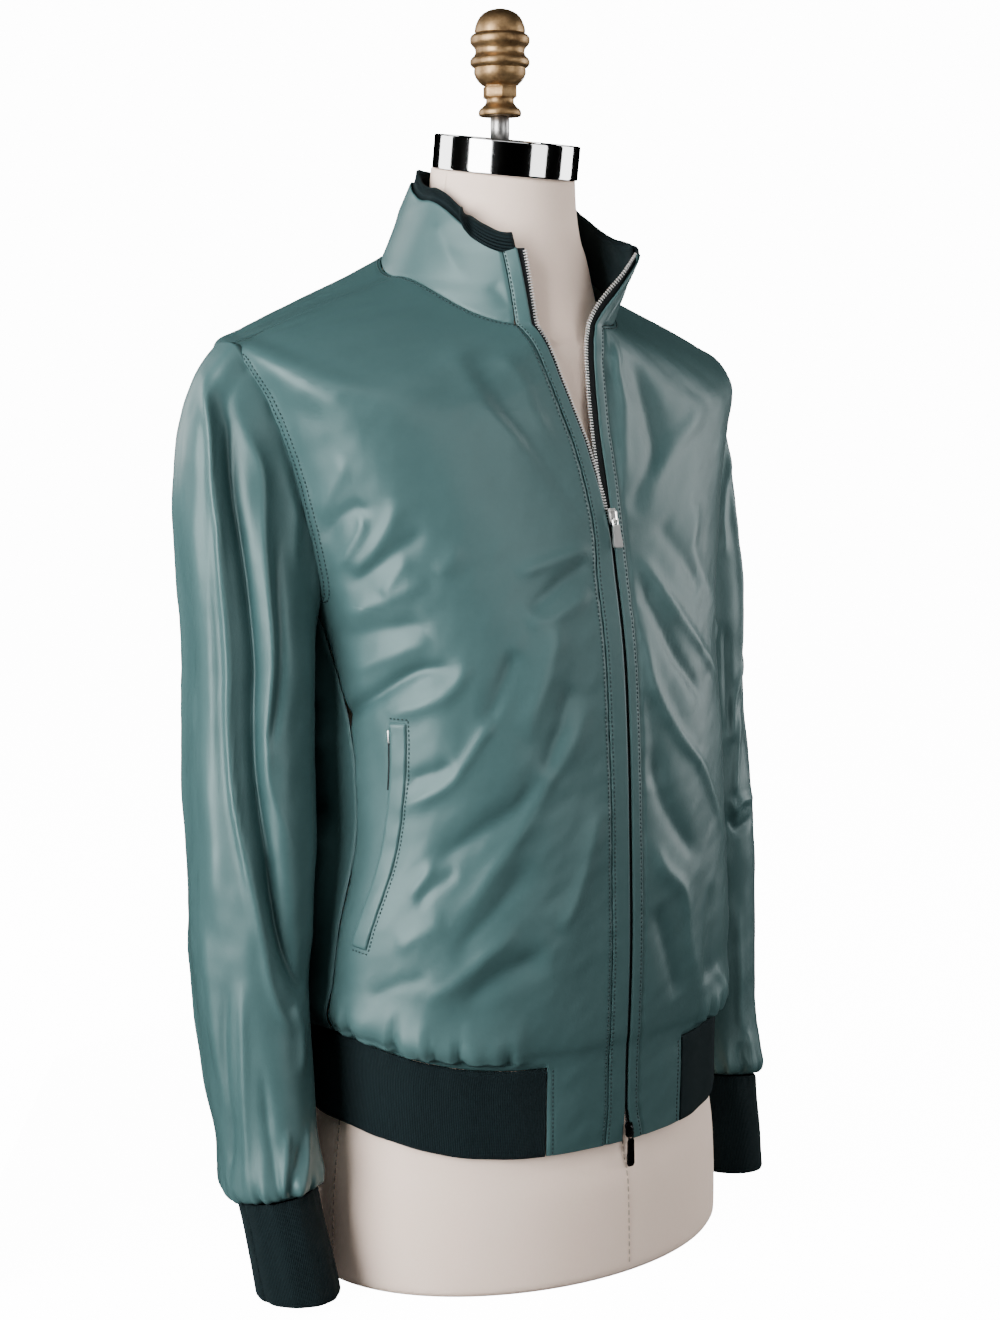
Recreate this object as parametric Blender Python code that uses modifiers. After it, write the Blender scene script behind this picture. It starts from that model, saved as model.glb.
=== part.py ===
"""A hip-length zip jacket in smooth leather with knit collar, hem and cuffs, worn by a limbless dress form.

Metres, +Z up. The form's flat base stands on z = 0 and the jacket's front faces -Y, so the wearer's right
side is -X. Every cloth piece is a thin wall on one wrapped surface: ring tables give the torso and the
sleeves, and the pieces are cut from them 0.3 mm to 0.5 mm apart.
"""

import math

import bmesh
import bpy
import numpy as np

LEATHER = 0.0018
KNIT = 0.0026
SEAM = 0.00025          # half of the gap between two pieces sewn edge to edge
LAYER = 0.0004          # gap between a piece and the one that lies on it

# Torso rings of the jacket's outer face, from the hem up to the neck seam.
# z at the side, centre front and centre back, half width, y at the side, front and back,
# squareness of the ring, the share of the way to the centre by which z has changed, and x of its middle.
RING_COLUMNS = ("z_side", "z_front", "z_back", "half", "y_side", "y_front", "y_back", "square", "reach", "x_mid")
BODY_RINGS = (
    (0.121, 0.100, 0.119, 0.1735, -0.0125, -0.1405, 0.1135, 2.10, 1.00, 0.000),
    (0.186, 0.166, 0.184, 0.1725, -0.0135, -0.1412, 0.1110, 2.15, 1.00, 0.000),
    (0.206, 0.188, 0.204, 0.1785, -0.0155, -0.1430, 0.1160, 2.20, 1.00, 0.000),
    (0.262, 0.250, 0.262, 0.1765, -0.0190, -0.1448, 0.1030, 2.25, 1.00, 0.002),
    (0.330, 0.325, 0.330, 0.1640, -0.0220, -0.1436, 0.0875, 2.30, 1.00, 0.004),
    (0.400, 0.398, 0.400, 0.1625, -0.0180, -0.1408, 0.0960, 2.35, 1.00, 0.003),
    (0.468, 0.466, 0.470, 0.1675, -0.0010, -0.1356, 0.1130, 2.35, 1.00, 0.000),
    (0.530, 0.524, 0.535, 0.1830, 0.0120, -0.1255, 0.1220, 2.35, 1.00, 0.000),
    (0.590, 0.572, 0.600, 0.1975, 0.0210, -0.1170, 0.1280, 2.35, 1.00, 0.000),
    (0.645, 0.610, 0.655, 0.2140, 0.0270, -0.1085, 0.1300, 2.35, 1.00, 0.000),
    (0.6810, 0.638, 0.690, 0.2270, 0.0340, -0.1020, 0.1240, 2.35, 1.00, 0.000),
    (0.6920, 0.654, 0.706, 0.2070, 0.0330, -0.0985, 0.1170, 2.30, 1.00, 0.000),
    (0.7045, 0.669, 0.721, 0.1760, 0.0310, -0.0950, 0.1090, 2.20, 0.98, 0.000),
    (0.7200, 0.685, 0.738, 0.1330, 0.0290, -0.0915, 0.1010, 2.10, 0.95, 0.000),
    (0.7370, 0.7005, 0.757, 0.0850, 0.0250, -0.0880, 0.0920, 2.00, 0.90, 0.000),
)
COLLAR_TOP = (0.7920, 0.7555, 0.8090, 0.0680, 0.0110, -0.0860, 0.0710, 2.00, 0.75, 0.000)
HEM, RIB_TOP, UNDERARM, SHOULDER, NECK = 0.0, 1.0, 6.55, 10.0, 14.0
COLLAR_SHARES = (0.0, 0.25, 0.5, 0.75, 1.0)
KNIT_BEHIND = 0.0011      # gap between the collar's leather and its knit
KNIT_TOP, KNIT_INSET = 1.17, 0.0096    # how far the knit stands above the leather, and its ends behind the zip

# Both front edges, open at the collar and closed below the slider: height and x.
EDGE_RIGHT = ((0.098, -0.0036), (0.108, -0.0030), (0.125, -0.0014), (0.545, -0.0014), (0.562, -0.0030), (0.582, -0.0065), (0.618, -0.0140),
              (0.661, -0.0280), (0.702, -0.0385), (0.757, -0.0430))
EDGE_LEFT = ((0.098, 0.0070), (0.108, 0.0052), (0.125, 0.0014), (0.545, 0.0014), (0.570, 0.0016), (0.610, 0.0018), (0.632, 0.0030),
             (0.655, 0.0045), (0.676, 0.0070), (0.691, 0.0100), (0.702, 0.0150), (0.738, 0.0310),
             (0.757, 0.0420))
PLACKET_RIGHT, PLACKET_LEFT = 0.0165, 0.0105
ZIP_INSETS = (0.0090, 0.0042, -0.0011)     # the strip's sides and middle, from the leather edge
ZIP_THICK, ZIP_BEHIND = 0.0013, 0.0006
COLLAR_SLACK = 0.55         # the zip stands a little further off the turned collar
SLIDER_TOP = (0.5625, 0.0006)     # height and x
SLIDER_BOTTOM = (0.1090, 0.0012)
PULL_AXIS_UP = -0.0026
TOP_TAB = ((-0.0068, 0.0028, 0.0010), (-0.0080, 0.0032, 0.0012), (-0.0150, 0.0036, 0.0012),
           (-0.0200, 0.0044, 0.0012), (-0.0228, 0.0044, 0.0012), (-0.0236, 0.0038, 0.0010))
BOTTOM_TAB = ((-0.0066, 0.0024, 0.0009), (-0.0085, 0.0029, 0.0010), (-0.0200, 0.0034, 0.0010),
              (-0.0255, 0.0035, 0.0010), (-0.0275, 0.0024, 0.0009))
WELT_TOP, WELT_BOTTOM = (-153.0, 5.3), (-166.0, 2.9)     # angle in degrees, ring
WELT_WIDE, WELT_OUT, WELT_THICK = 4.6, 0.0023, 0.0010
TAB_RIGHT, TAB_LEFT = 0.070, 0.062
COLLAR_POINT_LEFT = (0.017, -0.022, -0.003)    # the left collar point stands further out and forward

ARMHOLE_FRONT, ARMHOLE_BACK = 0.0255, 0.052
ARMHOLE_STEPS = 12
FRONT_COLUMNS, TAB_COLUMNS = 11, 3

# Sleeve sections from the upper arm down: height, centre x and y, half width and half depth.
SLEEVE_COLUMNS = ("z", "x", "y", "half_x", "half_y", "tilt")
SLEEVE_RINGS = (
    (0.4550, 0.2140, 0.0305, 0.0440, 0.0520, 0.00),
    (0.3950, 0.2160, 0.0300, 0.0445, 0.0515, 0.00),
    (0.3300, 0.2190, 0.0240, 0.0445, 0.0510, 0.00),
    (0.2700, 0.2235, 0.0205, 0.0425, 0.0495, 0.00),
    (0.2200, 0.2260, 0.0165, 0.0395, 0.0460, 0.00),
    (0.1330, 0.2265, 0.0015, 0.0350, 0.0430, 0.03),
    (0.1000, 0.2275, -0.0045, 0.0340, 0.0410, 0.08),
    (0.0860, 0.2272, -0.0085, 0.0325, 0.0390, 0.12),
    (0.0785, 0.2260, -0.0134, 0.0272, 0.0320, 0.14),
)
SLEEVE_AHEAD_LEFT = 0.0085          # the left sleeve hangs this much further forward
SLEEVE_HEAD_RIGHT, SLEEVE_HEAD_LEFT = 0.85, 0.50    # how far each sleeve's head stands out before it drops
CUFF_TOP = (0.0780, 0.2260, -0.0135, 0.0268, 0.0315, 0.14)
CUFF_BOTTOM = (0.0046, 0.2180, -0.0280, 0.0290, 0.0340, 0.03)

# Folds of the fronts and back: angle and ring height where each starts and ends, half width in metres
# measured round the body, and depth, negative for a trough.
FOLD_COLUMNS = ("angle_a", "ring_a", "angle_b", "ring_b", "half", "depth")
BODY_FOLDS = (
    (-168, 6.4, -118, 5.0, 0.014, 0.0040),
    (-172, 5.6, -122, 3.9, 0.016, -0.0040),
    (-166, 4.8, -112, 2.6, 0.016, 0.0045),
    (-150, 9.6, -128, 7.0, 0.012, -0.0030),
    (-140, 2.9, -128, 1.2, 0.010, 0.0040),
    (-70, 6.2, -30, 5.2, 0.014, 0.0040),
    (-66, 8.6, -78, 6.6, 0.013, -0.0035),
    (-60, 4.8, -12, 3.6, 0.016, -0.0040),
    (-40, 6.3, -14, 6.0, 0.011, 0.0040),
    (40, 5.2, 140, 4.7, 0.018, -0.0045),
    (30, 4.2, 120, 3.6, 0.018, 0.0040),
    (60, 9.0, 72, 6.0, 0.016, 0.0035),
    (120, 9.2, 108, 6.2, 0.016, 0.0035),
    (20, 6.6, 50, 8.4, 0.014, -0.0035),
    (160, 6.6, 130, 8.4, 0.014, -0.0035),
)
HEM_GATHERS = (-174, -161, -149, -137, -126, -116, -62, -52, -41, -29, -16, -3, 12, 25, 39, 52, 66, 79, 93,
               107, 121, 136, 150, 163)
GATHER_DEPTH = 0.0035

# Sleeve folds: angle round the sleeve from its outer side towards the front, height, to angle and height,
# half width as an angle, and depth.
SLEEVE_FOLDS = (
    (44, 0.690, 56, 0.330, 13, -0.0050),
    (18, 0.640, 26, 0.420, 11, 0.0035),
    (78, 0.560, 84, 0.250, 12, 0.0040),
    (104, 0.470, 96, 0.120, 12, -0.0040),
    (8, 0.420, 20, 0.120, 12, -0.0035),
    (200, 0.400, 160, 0.330, 24, -0.0035),
    (250, 0.560, 240, 0.200, 15, 0.0040),
    (296, 0.640, 286, 0.300, 14, -0.0050),
    (330, 0.480, 336, 0.160, 12, 0.0035),
)
CUFF_GATHERS = (8, 33, 62, 84, 110, 141, 172, 205, 240, 272, 301, 333)

# Form below and above the jacket: height, half width, y of centre, front depth and back depth.
FORM_BASE = (
    (0.0000, 0.1745, -0.0125, 0.1300, 0.1290),
    (0.0030, 0.1760, -0.0128, 0.1315, 0.1300),
    (0.0300, 0.1762, -0.0130, 0.1310, 0.1300),
    (0.0700, 0.1745, -0.0128, 0.1295, 0.1285),
)
FORM_EASE = ((0.0, 0.0045), (1.0, 0.0045), (2.0, 0.0095), (3.0, 0.0100), (4.0, 0.0095), (5.0, 0.0085),
             (6.0, 0.0080), (7.0, 0.0090), (8.0, 0.0085), (9.0, 0.0060), (10.0, 0.0048), (11.0, 0.0030),
             (12.0, 0.0030), (13.0, 0.0030), (14.0, 0.0085))
FORM_RINGS = (0.0, 1.0, 2.0, 3.0, 4.0, 5.0, 6.0, 7.0, 8.0, 9.0, 10.0, 11.0, 12.0, 13.0, 13.9)
FORM_EASE_FRONT = 0.0050     # more room between the form and the open front
FORM_NECK = (
    (0.757, 0.0640, 0.0060, 0.0660),
    (0.770, 0.0585, 0.0045, 0.0610),
    (0.790, 0.0550, 0.0040, 0.0575),
    (0.8137, 0.0530, 0.0030, 0.0558),
)
CAP_TILT = math.radians(8.0)
CAP_CENTRE = (0.0, 0.001, 0.8138)
CAP_HALF = (0.0530, 0.0560)
CAP_HEIGHT = 0.0250
POST_Y, POST_RADIUS, POST_TOP = 0.0065, 0.0071, 0.8562
# The finial's turned profile, from the top down: radius and height.
FINIAL = ((0.0000, 0.9354), (0.0075, 0.9347), (0.0130, 0.9318), (0.0168, 0.9268), (0.0188, 0.9212),
          (0.0190, 0.9178), (0.0205, 0.9160), (0.0223, 0.9135), (0.0223, 0.9098), (0.0198, 0.9074),
          (0.0184, 0.9040), (0.0196, 0.9006), (0.0223, 0.8980), (0.0223, 0.8945), (0.0200, 0.8922),
          (0.0195, 0.8880), (0.0165, 0.8825), (0.0136, 0.8794))
HEX_BOTTOM, HEX_TOP, HEX_HALF = 0.8700, 0.8786, 0.0116     # the finial's six-sided part, half its width
FINIAL_TIP = 0.0035     # radius of the flat on the knob's top
FINIAL_FOOT = ((0.0105, 0.8682), (0.0108, 0.8660), (0.0140, 0.8630), (0.0160, 0.8598), (0.0152, 0.8566))


def clear_scene():
    for item in list(bpy.data.objects):
        bpy.data.objects.remove(item, do_unlink=True)
    for mesh in list(bpy.data.meshes):
        bpy.data.meshes.remove(mesh)


def material(name, colour, roughness, metallic=0.0):
    made = bpy.data.materials.new(name)
    made.use_nodes = True
    shader = made.node_tree.nodes["Principled BSDF"]
    shader.inputs["Base Color"].default_value = (*colour, 1.0)
    shader.inputs["Roughness"].default_value = roughness
    shader.inputs["Metallic"].default_value = metallic
    return made


def smoothstep(t):
    t = np.clip(t, 0.0, 1.0)
    return t * t * (3.0 - 2.0 * t)


def along(table, at):
    """The table's columns at a fractional row number, on a smooth curve through its rows."""
    rows = np.array(table, float)
    at = np.clip(np.asarray(at, float), 0.0, len(rows) - 1.0)
    low = np.minimum(at.astype(int), len(rows) - 2)
    part = (at - low)[..., None]
    before, start = rows[np.maximum(low - 1, 0)], rows[low]
    end, after = rows[low + 1], rows[np.minimum(low + 2, len(rows) - 1)]
    leave, arrive = 0.5 * (end - before), 0.5 * (after - start)
    return (
        (2 * part**3 - 3 * part**2 + 1) * start
        + (part**3 - 2 * part**2 + part) * leave
        + (3 * part**2 - 2 * part**3) * end
        + (part**3 - part**2) * arrive
    )


def ring_point(angle, columns):
    """A point of a ring: angle 0 is the wearer's left side, -90 degrees the centre front."""
    z_side, z_front, z_back, half, y_side, y_front, y_back, square, reach, x_mid = np.moveaxis(columns, -1, 0)
    cos, sin = np.cos(angle), np.sin(angle)
    x = x_mid + half * np.sign(cos) * np.abs(cos) ** (2.0 / square)
    share = np.abs(sin) ** (2.0 / square)
    y = y_side + share * np.where(sin < 0, y_front - y_side, y_back - y_side)
    z = z_side + smoothstep(share / reach) * np.where(sin < 0, z_front - z_side, z_back - z_side)
    return np.stack([x, y, z], -1)


def body_plain(angle, ring):
    """The jacket's outer face without folds."""
    angle, ring = np.broadcast_arrays(np.asarray(angle, float), np.asarray(ring, float))
    return ring_point(angle, along(BODY_RINGS, ring))


def normal_of(surface, u, v, du=0.004, dv=0.02, low=None, high=None):
    v0 = v - dv if low is None else np.maximum(v - dv, low)
    v1 = v + dv if high is None else np.minimum(v + dv, high)
    across = surface(u + du, v) - surface(u - du, v)
    up = surface(u, v1) - surface(u, v0)
    made = np.cross(across, up)
    return made / np.linalg.norm(made, axis=-1, keepdims=True)


def body_normal(angle, ring):
    angle, ring = np.broadcast_arrays(np.asarray(angle, float), np.asarray(ring, float))
    return normal_of(body_plain, angle, ring, low=0.0, high=NECK)


def fold_height(angle, ring):
    """How far the folds and the gathers over the rib lift the torso's face."""
    degrees = np.degrees(angle)
    radius = 0.155
    lift = np.zeros(np.shape(degrees))
    for start, low, end, high, half, depth in BODY_FOLDS:
        du, dv = math.radians(end - start) * radius, (high - low) * 0.06
        length = math.hypot(du, dv)
        u = np.radians((degrees - start + 180.0) % 360.0 - 180.0) * radius
        v = (ring - low) * 0.06
        t = (u * du + v * dv) / length**2
        off = (u * dv - v * du) / length
        ends = smoothstep((t + 0.15) / 0.3) * smoothstep((1.15 - t) / 0.3)
        lift = lift + depth * np.exp(-((off / half) ** 2)) * ends
    fade = smoothstep((ring - RIB_TOP) / 0.5) * smoothstep((3.2 - ring) / 2.2)
    for place in HEM_GATHERS:
        off = (degrees - place + 180.0) % 360.0 - 180.0
        lift = lift + GATHER_DEPTH * fade * np.exp(-((off / 3.4) ** 2))
    seams = smoothstep((ring - RIB_TOP) / 0.4) * smoothstep((NECK - ring) / 1.5)
    side = 1.0 - smoothstep((np.abs(np.cos(angle)) - 0.965) / 0.03) * smoothstep((ring - 6.0) / 0.4)
    front = smoothstep((np.abs(degrees + 90.0) - 7.0) / 9.0)
    return lift * seams * side * front


def body(angle, ring, out=0.0):
    angle, ring = np.broadcast_arrays(np.asarray(angle, float), np.asarray(ring, float))
    lift = fold_height(angle, ring) + out
    return body_plain(angle, ring) + body_normal(angle, ring) * lift[..., None]


def collar(angle, share, out=0.0):
    """The standing collar: share 0 is the neck seam and 1 the top edge."""
    angle, share = np.broadcast_arrays(np.asarray(angle, float), np.asarray(share, float))

    def plain(a, s):
        seam = ring_point(a, along(BODY_RINGS, np.full(np.shape(a), NECK)))
        top = ring_point(a, np.broadcast_to(np.array(COLLAR_TOP), np.shape(a) + (10,)))
        middle = 0.5 * (seam + top)
        middle[..., :2] *= 0.985
        near = np.stack([(1 - s) ** 2, 2 * s * (1 - s), s**2], 0)[..., None]
        made = near[0] * seam + near[1] * middle + near[2] * top
        degrees = np.degrees(a)
        lean = smoothstep((degrees + 92.0) / 24.0) * smoothstep((-8.0 - degrees) / 50.0) * np.clip(s, 0, 1.3)
        return made + lean[..., None] * np.array(COLLAR_POINT_LEFT)

    return plain(angle, share) + normal_of(plain, angle, share, dv=0.05) * out


def angle_at(x, ring):
    """The angle on the front at which a ring reaches this x."""
    columns = along(BODY_RINGS, ring)
    off = (x - columns[..., 9]) / columns[..., 3]
    return -np.arccos(np.sign(off) * np.clip(np.abs(off), 0.0, 1.0) ** (columns[..., 7] / 2.0))


def front_height(ring):
    return along(BODY_RINGS, ring)[..., 1]


def edge_x(table, z, inset):
    """x of a front edge at a height, moved away from the zip by inset."""
    rows = np.array(table)
    side = -1.0 if rows[0, 1] < 0 else 1.0
    return np.interp(z, rows[:, 0], rows[:, 1]) + side * inset


def collar_angle(x, share):
    """The angle on the front at which the collar reaches this x."""
    half = (1 - share) * BODY_RINGS[-1][3] + share * COLLAR_TOP[3]
    return -np.arccos(np.clip(x / half, -1.0, 1.0))


def armhole_angle(ring, front):
    """Half the opening that the armhole leaves at this ring, on its front or back half."""
    columns = along(BODY_RINGS, ring)
    share = np.clip((ring - UNDERARM) / (SHOULDER - UNDERARM), 0.0, 1.0)
    round_off = np.clip(4.0 * share * (1.0 - share), 0.0, 1.0) ** (0.30 if front else 0.5)
    deep = (ARMHOLE_FRONT if front else ARMHOLE_BACK) * round_off
    depth = np.abs(columns[..., 5 if front else 6] - columns[..., 4])
    return np.arcsin(np.clip(deep / depth, 0.0, 0.95) ** (columns[..., 7] / 2.0))


def armhole_rings():
    turn = np.linspace(0.0, math.pi, ARMHOLE_STEPS + 1)
    return UNDERARM + (SHOULDER - UNDERARM) * (1.0 - np.cos(turn)) / 2.0


def panel_rings(bottom):
    lower = [r for r in (0.02, 0.55, 1.008, 1.5, 2.0, 2.5, 3.0, 3.5, 4.0, 4.4, 4.8, 5.2, 5.7, 6.15) if r >= bottom]
    upper = (10.5, 11.2, 12.0, 13.0, 13.985)
    return np.concatenate([lower, armhole_rings(), upper])


def grid_object(name, points, thickness, finish, keep=None, flip=False, wrap=False):
    """A wall of this thickness under a grid of points: rows run up and columns run round."""
    rows, columns = points.shape[:2]
    mesh = bmesh.new()
    used = {}

    def vertex(i, j):
        j = j % columns
        if (i, j) not in used:
            used[(i, j)] = mesh.verts.new(points[i, j])
        return used[(i, j)]

    for i in range(rows - 1):
        for j in range(columns if wrap else columns - 1):
            if keep is not None and not keep(i, j):
                continue
            corners = [vertex(i, j), vertex(i, j + 1), vertex(i + 1, j + 1), vertex(i + 1, j)]
            mesh.faces.new(corners[::-1] if flip else corners)
    data = bpy.data.meshes.new(name)
    mesh.to_mesh(data)
    mesh.free()
    data.materials.append(finish)
    made = bpy.data.objects.new(name, data)
    bpy.context.scene.collection.objects.link(made)
    wall = made.modifiers.new("wall", "SOLIDIFY")
    wall.thickness = thickness
    wall.offset = -1.0
    return made


def loft_object(name, rings, finish):
    """A closed solid through rings that run up, each with the same number of points, with flat ends."""
    mesh = bmesh.new()
    loops = [[mesh.verts.new(p) for p in ring] for ring in rings]
    count = len(loops[0])
    for low, high in zip(loops, loops[1:]):
        for j in range(count):
            k = (j + 1) % count
            mesh.faces.new([low[j], low[k], high[k], high[j]])
    mesh.faces.new(loops[0][::-1])
    mesh.faces.new(loops[-1])
    bmesh.ops.recalc_face_normals(mesh, faces=mesh.faces)
    data = bpy.data.meshes.new(name)
    mesh.to_mesh(data)
    mesh.free()
    data.materials.append(finish)
    made = bpy.data.objects.new(name, data)
    bpy.context.scene.collection.objects.link(made)
    return made


def front_grid(right):
    """Angles and rings of one front, and the number of columns from the placket to the tab's edge."""
    edge, placket, tab = (EDGE_RIGHT, PLACKET_RIGHT, TAB_RIGHT) if right else (EDGE_LEFT, PLACKET_LEFT, TAB_LEFT)
    rings = panel_rings(0.0)
    seam = angle_at(edge_x(edge, front_height(rings), placket + SEAM), rings)
    arm = armhole_angle(rings, True) + SEAM / 0.15
    outer = (arm - math.pi) if right else -arm
    at_tab = angle_at(np.full(len(rings), (-tab if right else tab)), rings)
    spread = smoothstep((rings - 3.0) / 3.0)
    limit = (1 - spread) * at_tab + spread * (seam + (outer - seam) * TAB_COLUMNS / FRONT_COLUMNS)
    near = np.linspace(seam, limit, TAB_COLUMNS + 1, axis=1)
    far = np.linspace(limit, outer, FRONT_COLUMNS - TAB_COLUMNS + 1, axis=1)
    angles = np.concatenate([near, far[:, 1:]], axis=1)
    return (angles[:, ::-1] if right else angles), rings


def make_front(name, right, leather):
    angles, rings = front_grid(right)
    points = body(angles, rings[:, None])
    tab_rows = int(np.sum(rings < RIB_TOP))
    first = FRONT_COLUMNS - TAB_COLUMNS if right else 0
    return grid_object(name, points, LEATHER, leather,
                       keep=lambda i, j: i >= tab_rows or first <= j < first + TAB_COLUMNS)


def make_back(leather):
    rings = panel_rings(RIB_TOP)
    arm = armhole_angle(rings, False)
    gap = SEAM / 0.15
    share = np.linspace(0.0, 1.0, 20)
    angles = (arm + gap)[:, None] * (1 - share) + (math.pi - arm - gap)[:, None] * share
    return grid_object("back", body(angles, rings[:, None]), LEATHER, leather)


def edge_strip(edge, insets, out):
    """Rows of a strip along a front edge from the hem to the top of the collar, at these insets from the edge."""
    insets = np.array(insets)
    count = len(insets)
    rows = []
    for ring in np.concatenate([panel_rings(0.0)[:-1], [13.7]]):
        x = edge_x(edge, front_height(np.array(ring)), insets)
        rows.append(body(angle_at(x, np.full(count, ring)), np.full(count, ring), out=out))
    for share in COLLAR_SHARES:
        z = BODY_RINGS[-1][1] + share * (COLLAR_TOP[1] - BODY_RINGS[-1][1])
        x = edge_x(edge, z, insets)
        row = collar(collar_angle(x, share), np.full(count, share), out=out * (1.0 + COLLAR_SLACK * share))
        if share == 0.0:
            below = body(angle_at(x, np.full(count, NECK)), np.full(count, NECK), out=out)
            row = 0.5 * (row + below)
        rows.append(row)
    return np.array(rows)


def make_placket(name, right, leather):
    """The strip along the front edge, from the hem to the top of the collar."""
    edge, wide = (EDGE_RIGHT, PLACKET_RIGHT) if right else (EDGE_LEFT, PLACKET_LEFT)
    points = edge_strip(edge, np.linspace(wide - SEAM, 0.0, 3), 0.0)
    return grid_object(name, points, LEATHER, leather, flip=not right)


def collar_span(share, inset):
    """Angles round the back between the two front edges, at a height of the collar."""
    z = BODY_RINGS[-1][1] + share * (COLLAR_TOP[1] - BODY_RINGS[-1][1])
    left = collar_angle(edge_x(EDGE_LEFT, z, inset[1]), share)
    right = collar_angle(edge_x(EDGE_RIGHT, z, inset[0]), share)
    return left, right + 2.0 * math.pi


def make_collar_leather(leather):
    rows = []
    for share in COLLAR_SHARES:
        ease = SEAM + (0.0012 if share == 0.0 else 0.0)
        start, end = collar_span(share, (PLACKET_RIGHT + ease, PLACKET_LEFT + ease))
        rows.append(collar(np.linspace(start, end, 33), max(share, 0.006)))
    return grid_object("collar_leather", np.array(rows), LEATHER, leather)


def make_collar_knit(knit):
    rows = []
    for share in COLLAR_SHARES[1:] + (KNIT_TOP,):
        low = min(share, 1.0)
        start, end = collar_span(low, (PLACKET_RIGHT + SEAM, PLACKET_LEFT + SEAM))
        first, last = collar_span(low, (KNIT_INSET, KNIT_INSET))
        angles = np.concatenate([[first], np.linspace(start, end, 33), [last]])
        rows.append(collar(angles, share, out=-(LEATHER + KNIT_BEHIND)))
    return grid_object("collar_knit", np.array(rows), KNIT, knit)


def make_hem(knit):
    rings = np.array([0.0, 0.5, 0.997])
    gap = 3.0 * SEAM / 0.14
    left = angle_at(np.full(3, TAB_LEFT), rings) + 1.4 * gap
    right = angle_at(np.full(3, -TAB_RIGHT), rings) + 2.0 * math.pi - gap
    share = np.linspace(0.0, 1.0, 49)
    angles = left[:, None] * (1 - share) + right[:, None] * share
    return grid_object("hem_knit", body_plain(angles, rings[:, None]), KNIT, knit)


def make_zip(name, right, tape):
    """One side of the zip: its tape and row of teeth as one strip, behind the front edge."""
    points = edge_strip(EDGE_RIGHT if right else EDGE_LEFT, ZIP_INSETS, -(LEATHER + ZIP_BEHIND))
    return grid_object(name, points, ZIP_THICK, tape, flip=not right)


def front_frame(z, x):
    """Origin on the front at this height, and the across, up and outward directions there."""
    rings = np.linspace(0.0, NECK, 400)
    ring = float(np.interp(z, front_height(rings), rings))
    low, origin, high = (body_plain(angle_at(x, r), r) for r in (ring - 0.12, ring, ring + 0.12))
    up = (high - low) / np.linalg.norm(high - low)
    across = np.array([1.0, 0.0, 0.0])
    outward = np.cross(across, up)
    return origin, across, up / np.linalg.norm(up), outward / np.linalg.norm(outward)


def rounded(half_x, half_y, bevel):
    """An octagonal outline, counter-clockwise."""
    return [(half_x, -half_y + bevel), (half_x, half_y - bevel), (half_x - bevel, half_y),
            (-half_x + bevel, half_y), (-half_x, half_y - bevel), (-half_x, -half_y + bevel),
            (-half_x + bevel, -half_y), (half_x - bevel, -half_y)]


def placed(frame, across, along_up, out):
    origin, x, up, outward = frame
    return origin + x * across + up * along_up + outward * out


def rod(name, path, radius, finish, sides=8):
    """A round rod through points, all in one plane, closed at both ends."""
    path = [np.array(p) for p in path]
    ahead = [path[min(i + 1, len(path) - 1)] - path[max(i - 1, 0)] for i in range(len(path))]
    side = np.cross(path[1] - path[0], path[-1] - path[0])
    if np.linalg.norm(side) < 1e-9:
        side = np.cross(path[1] - path[0], np.array([0.3, 0.5, 0.8]))
    side /= np.linalg.norm(side)
    rings = []
    for point, step in zip(path, ahead):
        other = np.cross(step / np.linalg.norm(step), side)
        rings.append([point + radius * (math.cos(t) * side + math.sin(t) * other)
                      for t in np.linspace(0, 2 * math.pi, sides, endpoint=False)])
    return loft_object(name, rings, finish)


def join(target, tools):
    for tool in tools:
        union = target.modifiers.new("join " + tool.name, "BOOLEAN")
        union.operation = "UNION"
        union.solver = "EXACT"
        union.object = tool
        tool.hide_render = True
        tool.display_type = "WIRE"
    return target


def make_slider(name, z, x, size, finish):
    """A slider's front plate and the bridge that holds its pull tab."""
    frame = front_frame(z, x)
    plate = []
    for up, half in ((-0.0062, 0.0022), (-0.0045, 0.0033), (0.0, 0.0036), (0.0035, 0.0038), (0.0056, 0.0030)):
        plate.append([placed(frame, a * size, up * size, 0.0004 + 0.0011 * size + b * size)
                      for a, b in rounded(half, 0.0011, 0.0005)])
    base = loft_object(name, plate, finish)
    arch = [placed(frame, 0.0, u * size, n * size)
            for u, n in ((-0.0044, 0.0018), (-0.0044, 0.0048), (-0.0034, 0.0060), (0.0026, 0.0060),
                         (0.0036, 0.0048), (0.0036, 0.0018))]
    return join(base, [rod(name + "_bridge", arch, 0.0007 * size, finish)]), frame


def make_pull(name, frame, size, outline, finish):
    """A pull tab that hangs from the slider's bridge by its crossbar; size scales the crossbar and arms."""
    out = 0.0041 * size
    bar = rod(name, [placed(frame, a * size, PULL_AXIS_UP * size, out) for a in (-0.0030, 0.0030)],
              0.00065 * size, finish)
    arms = []
    for k, side in enumerate((-1.0, 1.0)):
        path = [placed(frame, side * 0.0023 * size, u * size, out) for u in (-0.0024, -0.0075)]
        arms.append(rod(f"{name}_arm_{k}", path, 0.00062 * size, finish))
    tab = [[placed(frame, a, up, out + b) for a, b in rounded(half, thick, 0.0004)]
           for up, half, thick in outline]
    arms.append(loft_object(name + "_tab", tab, finish))
    return join(bar, arms)


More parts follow.
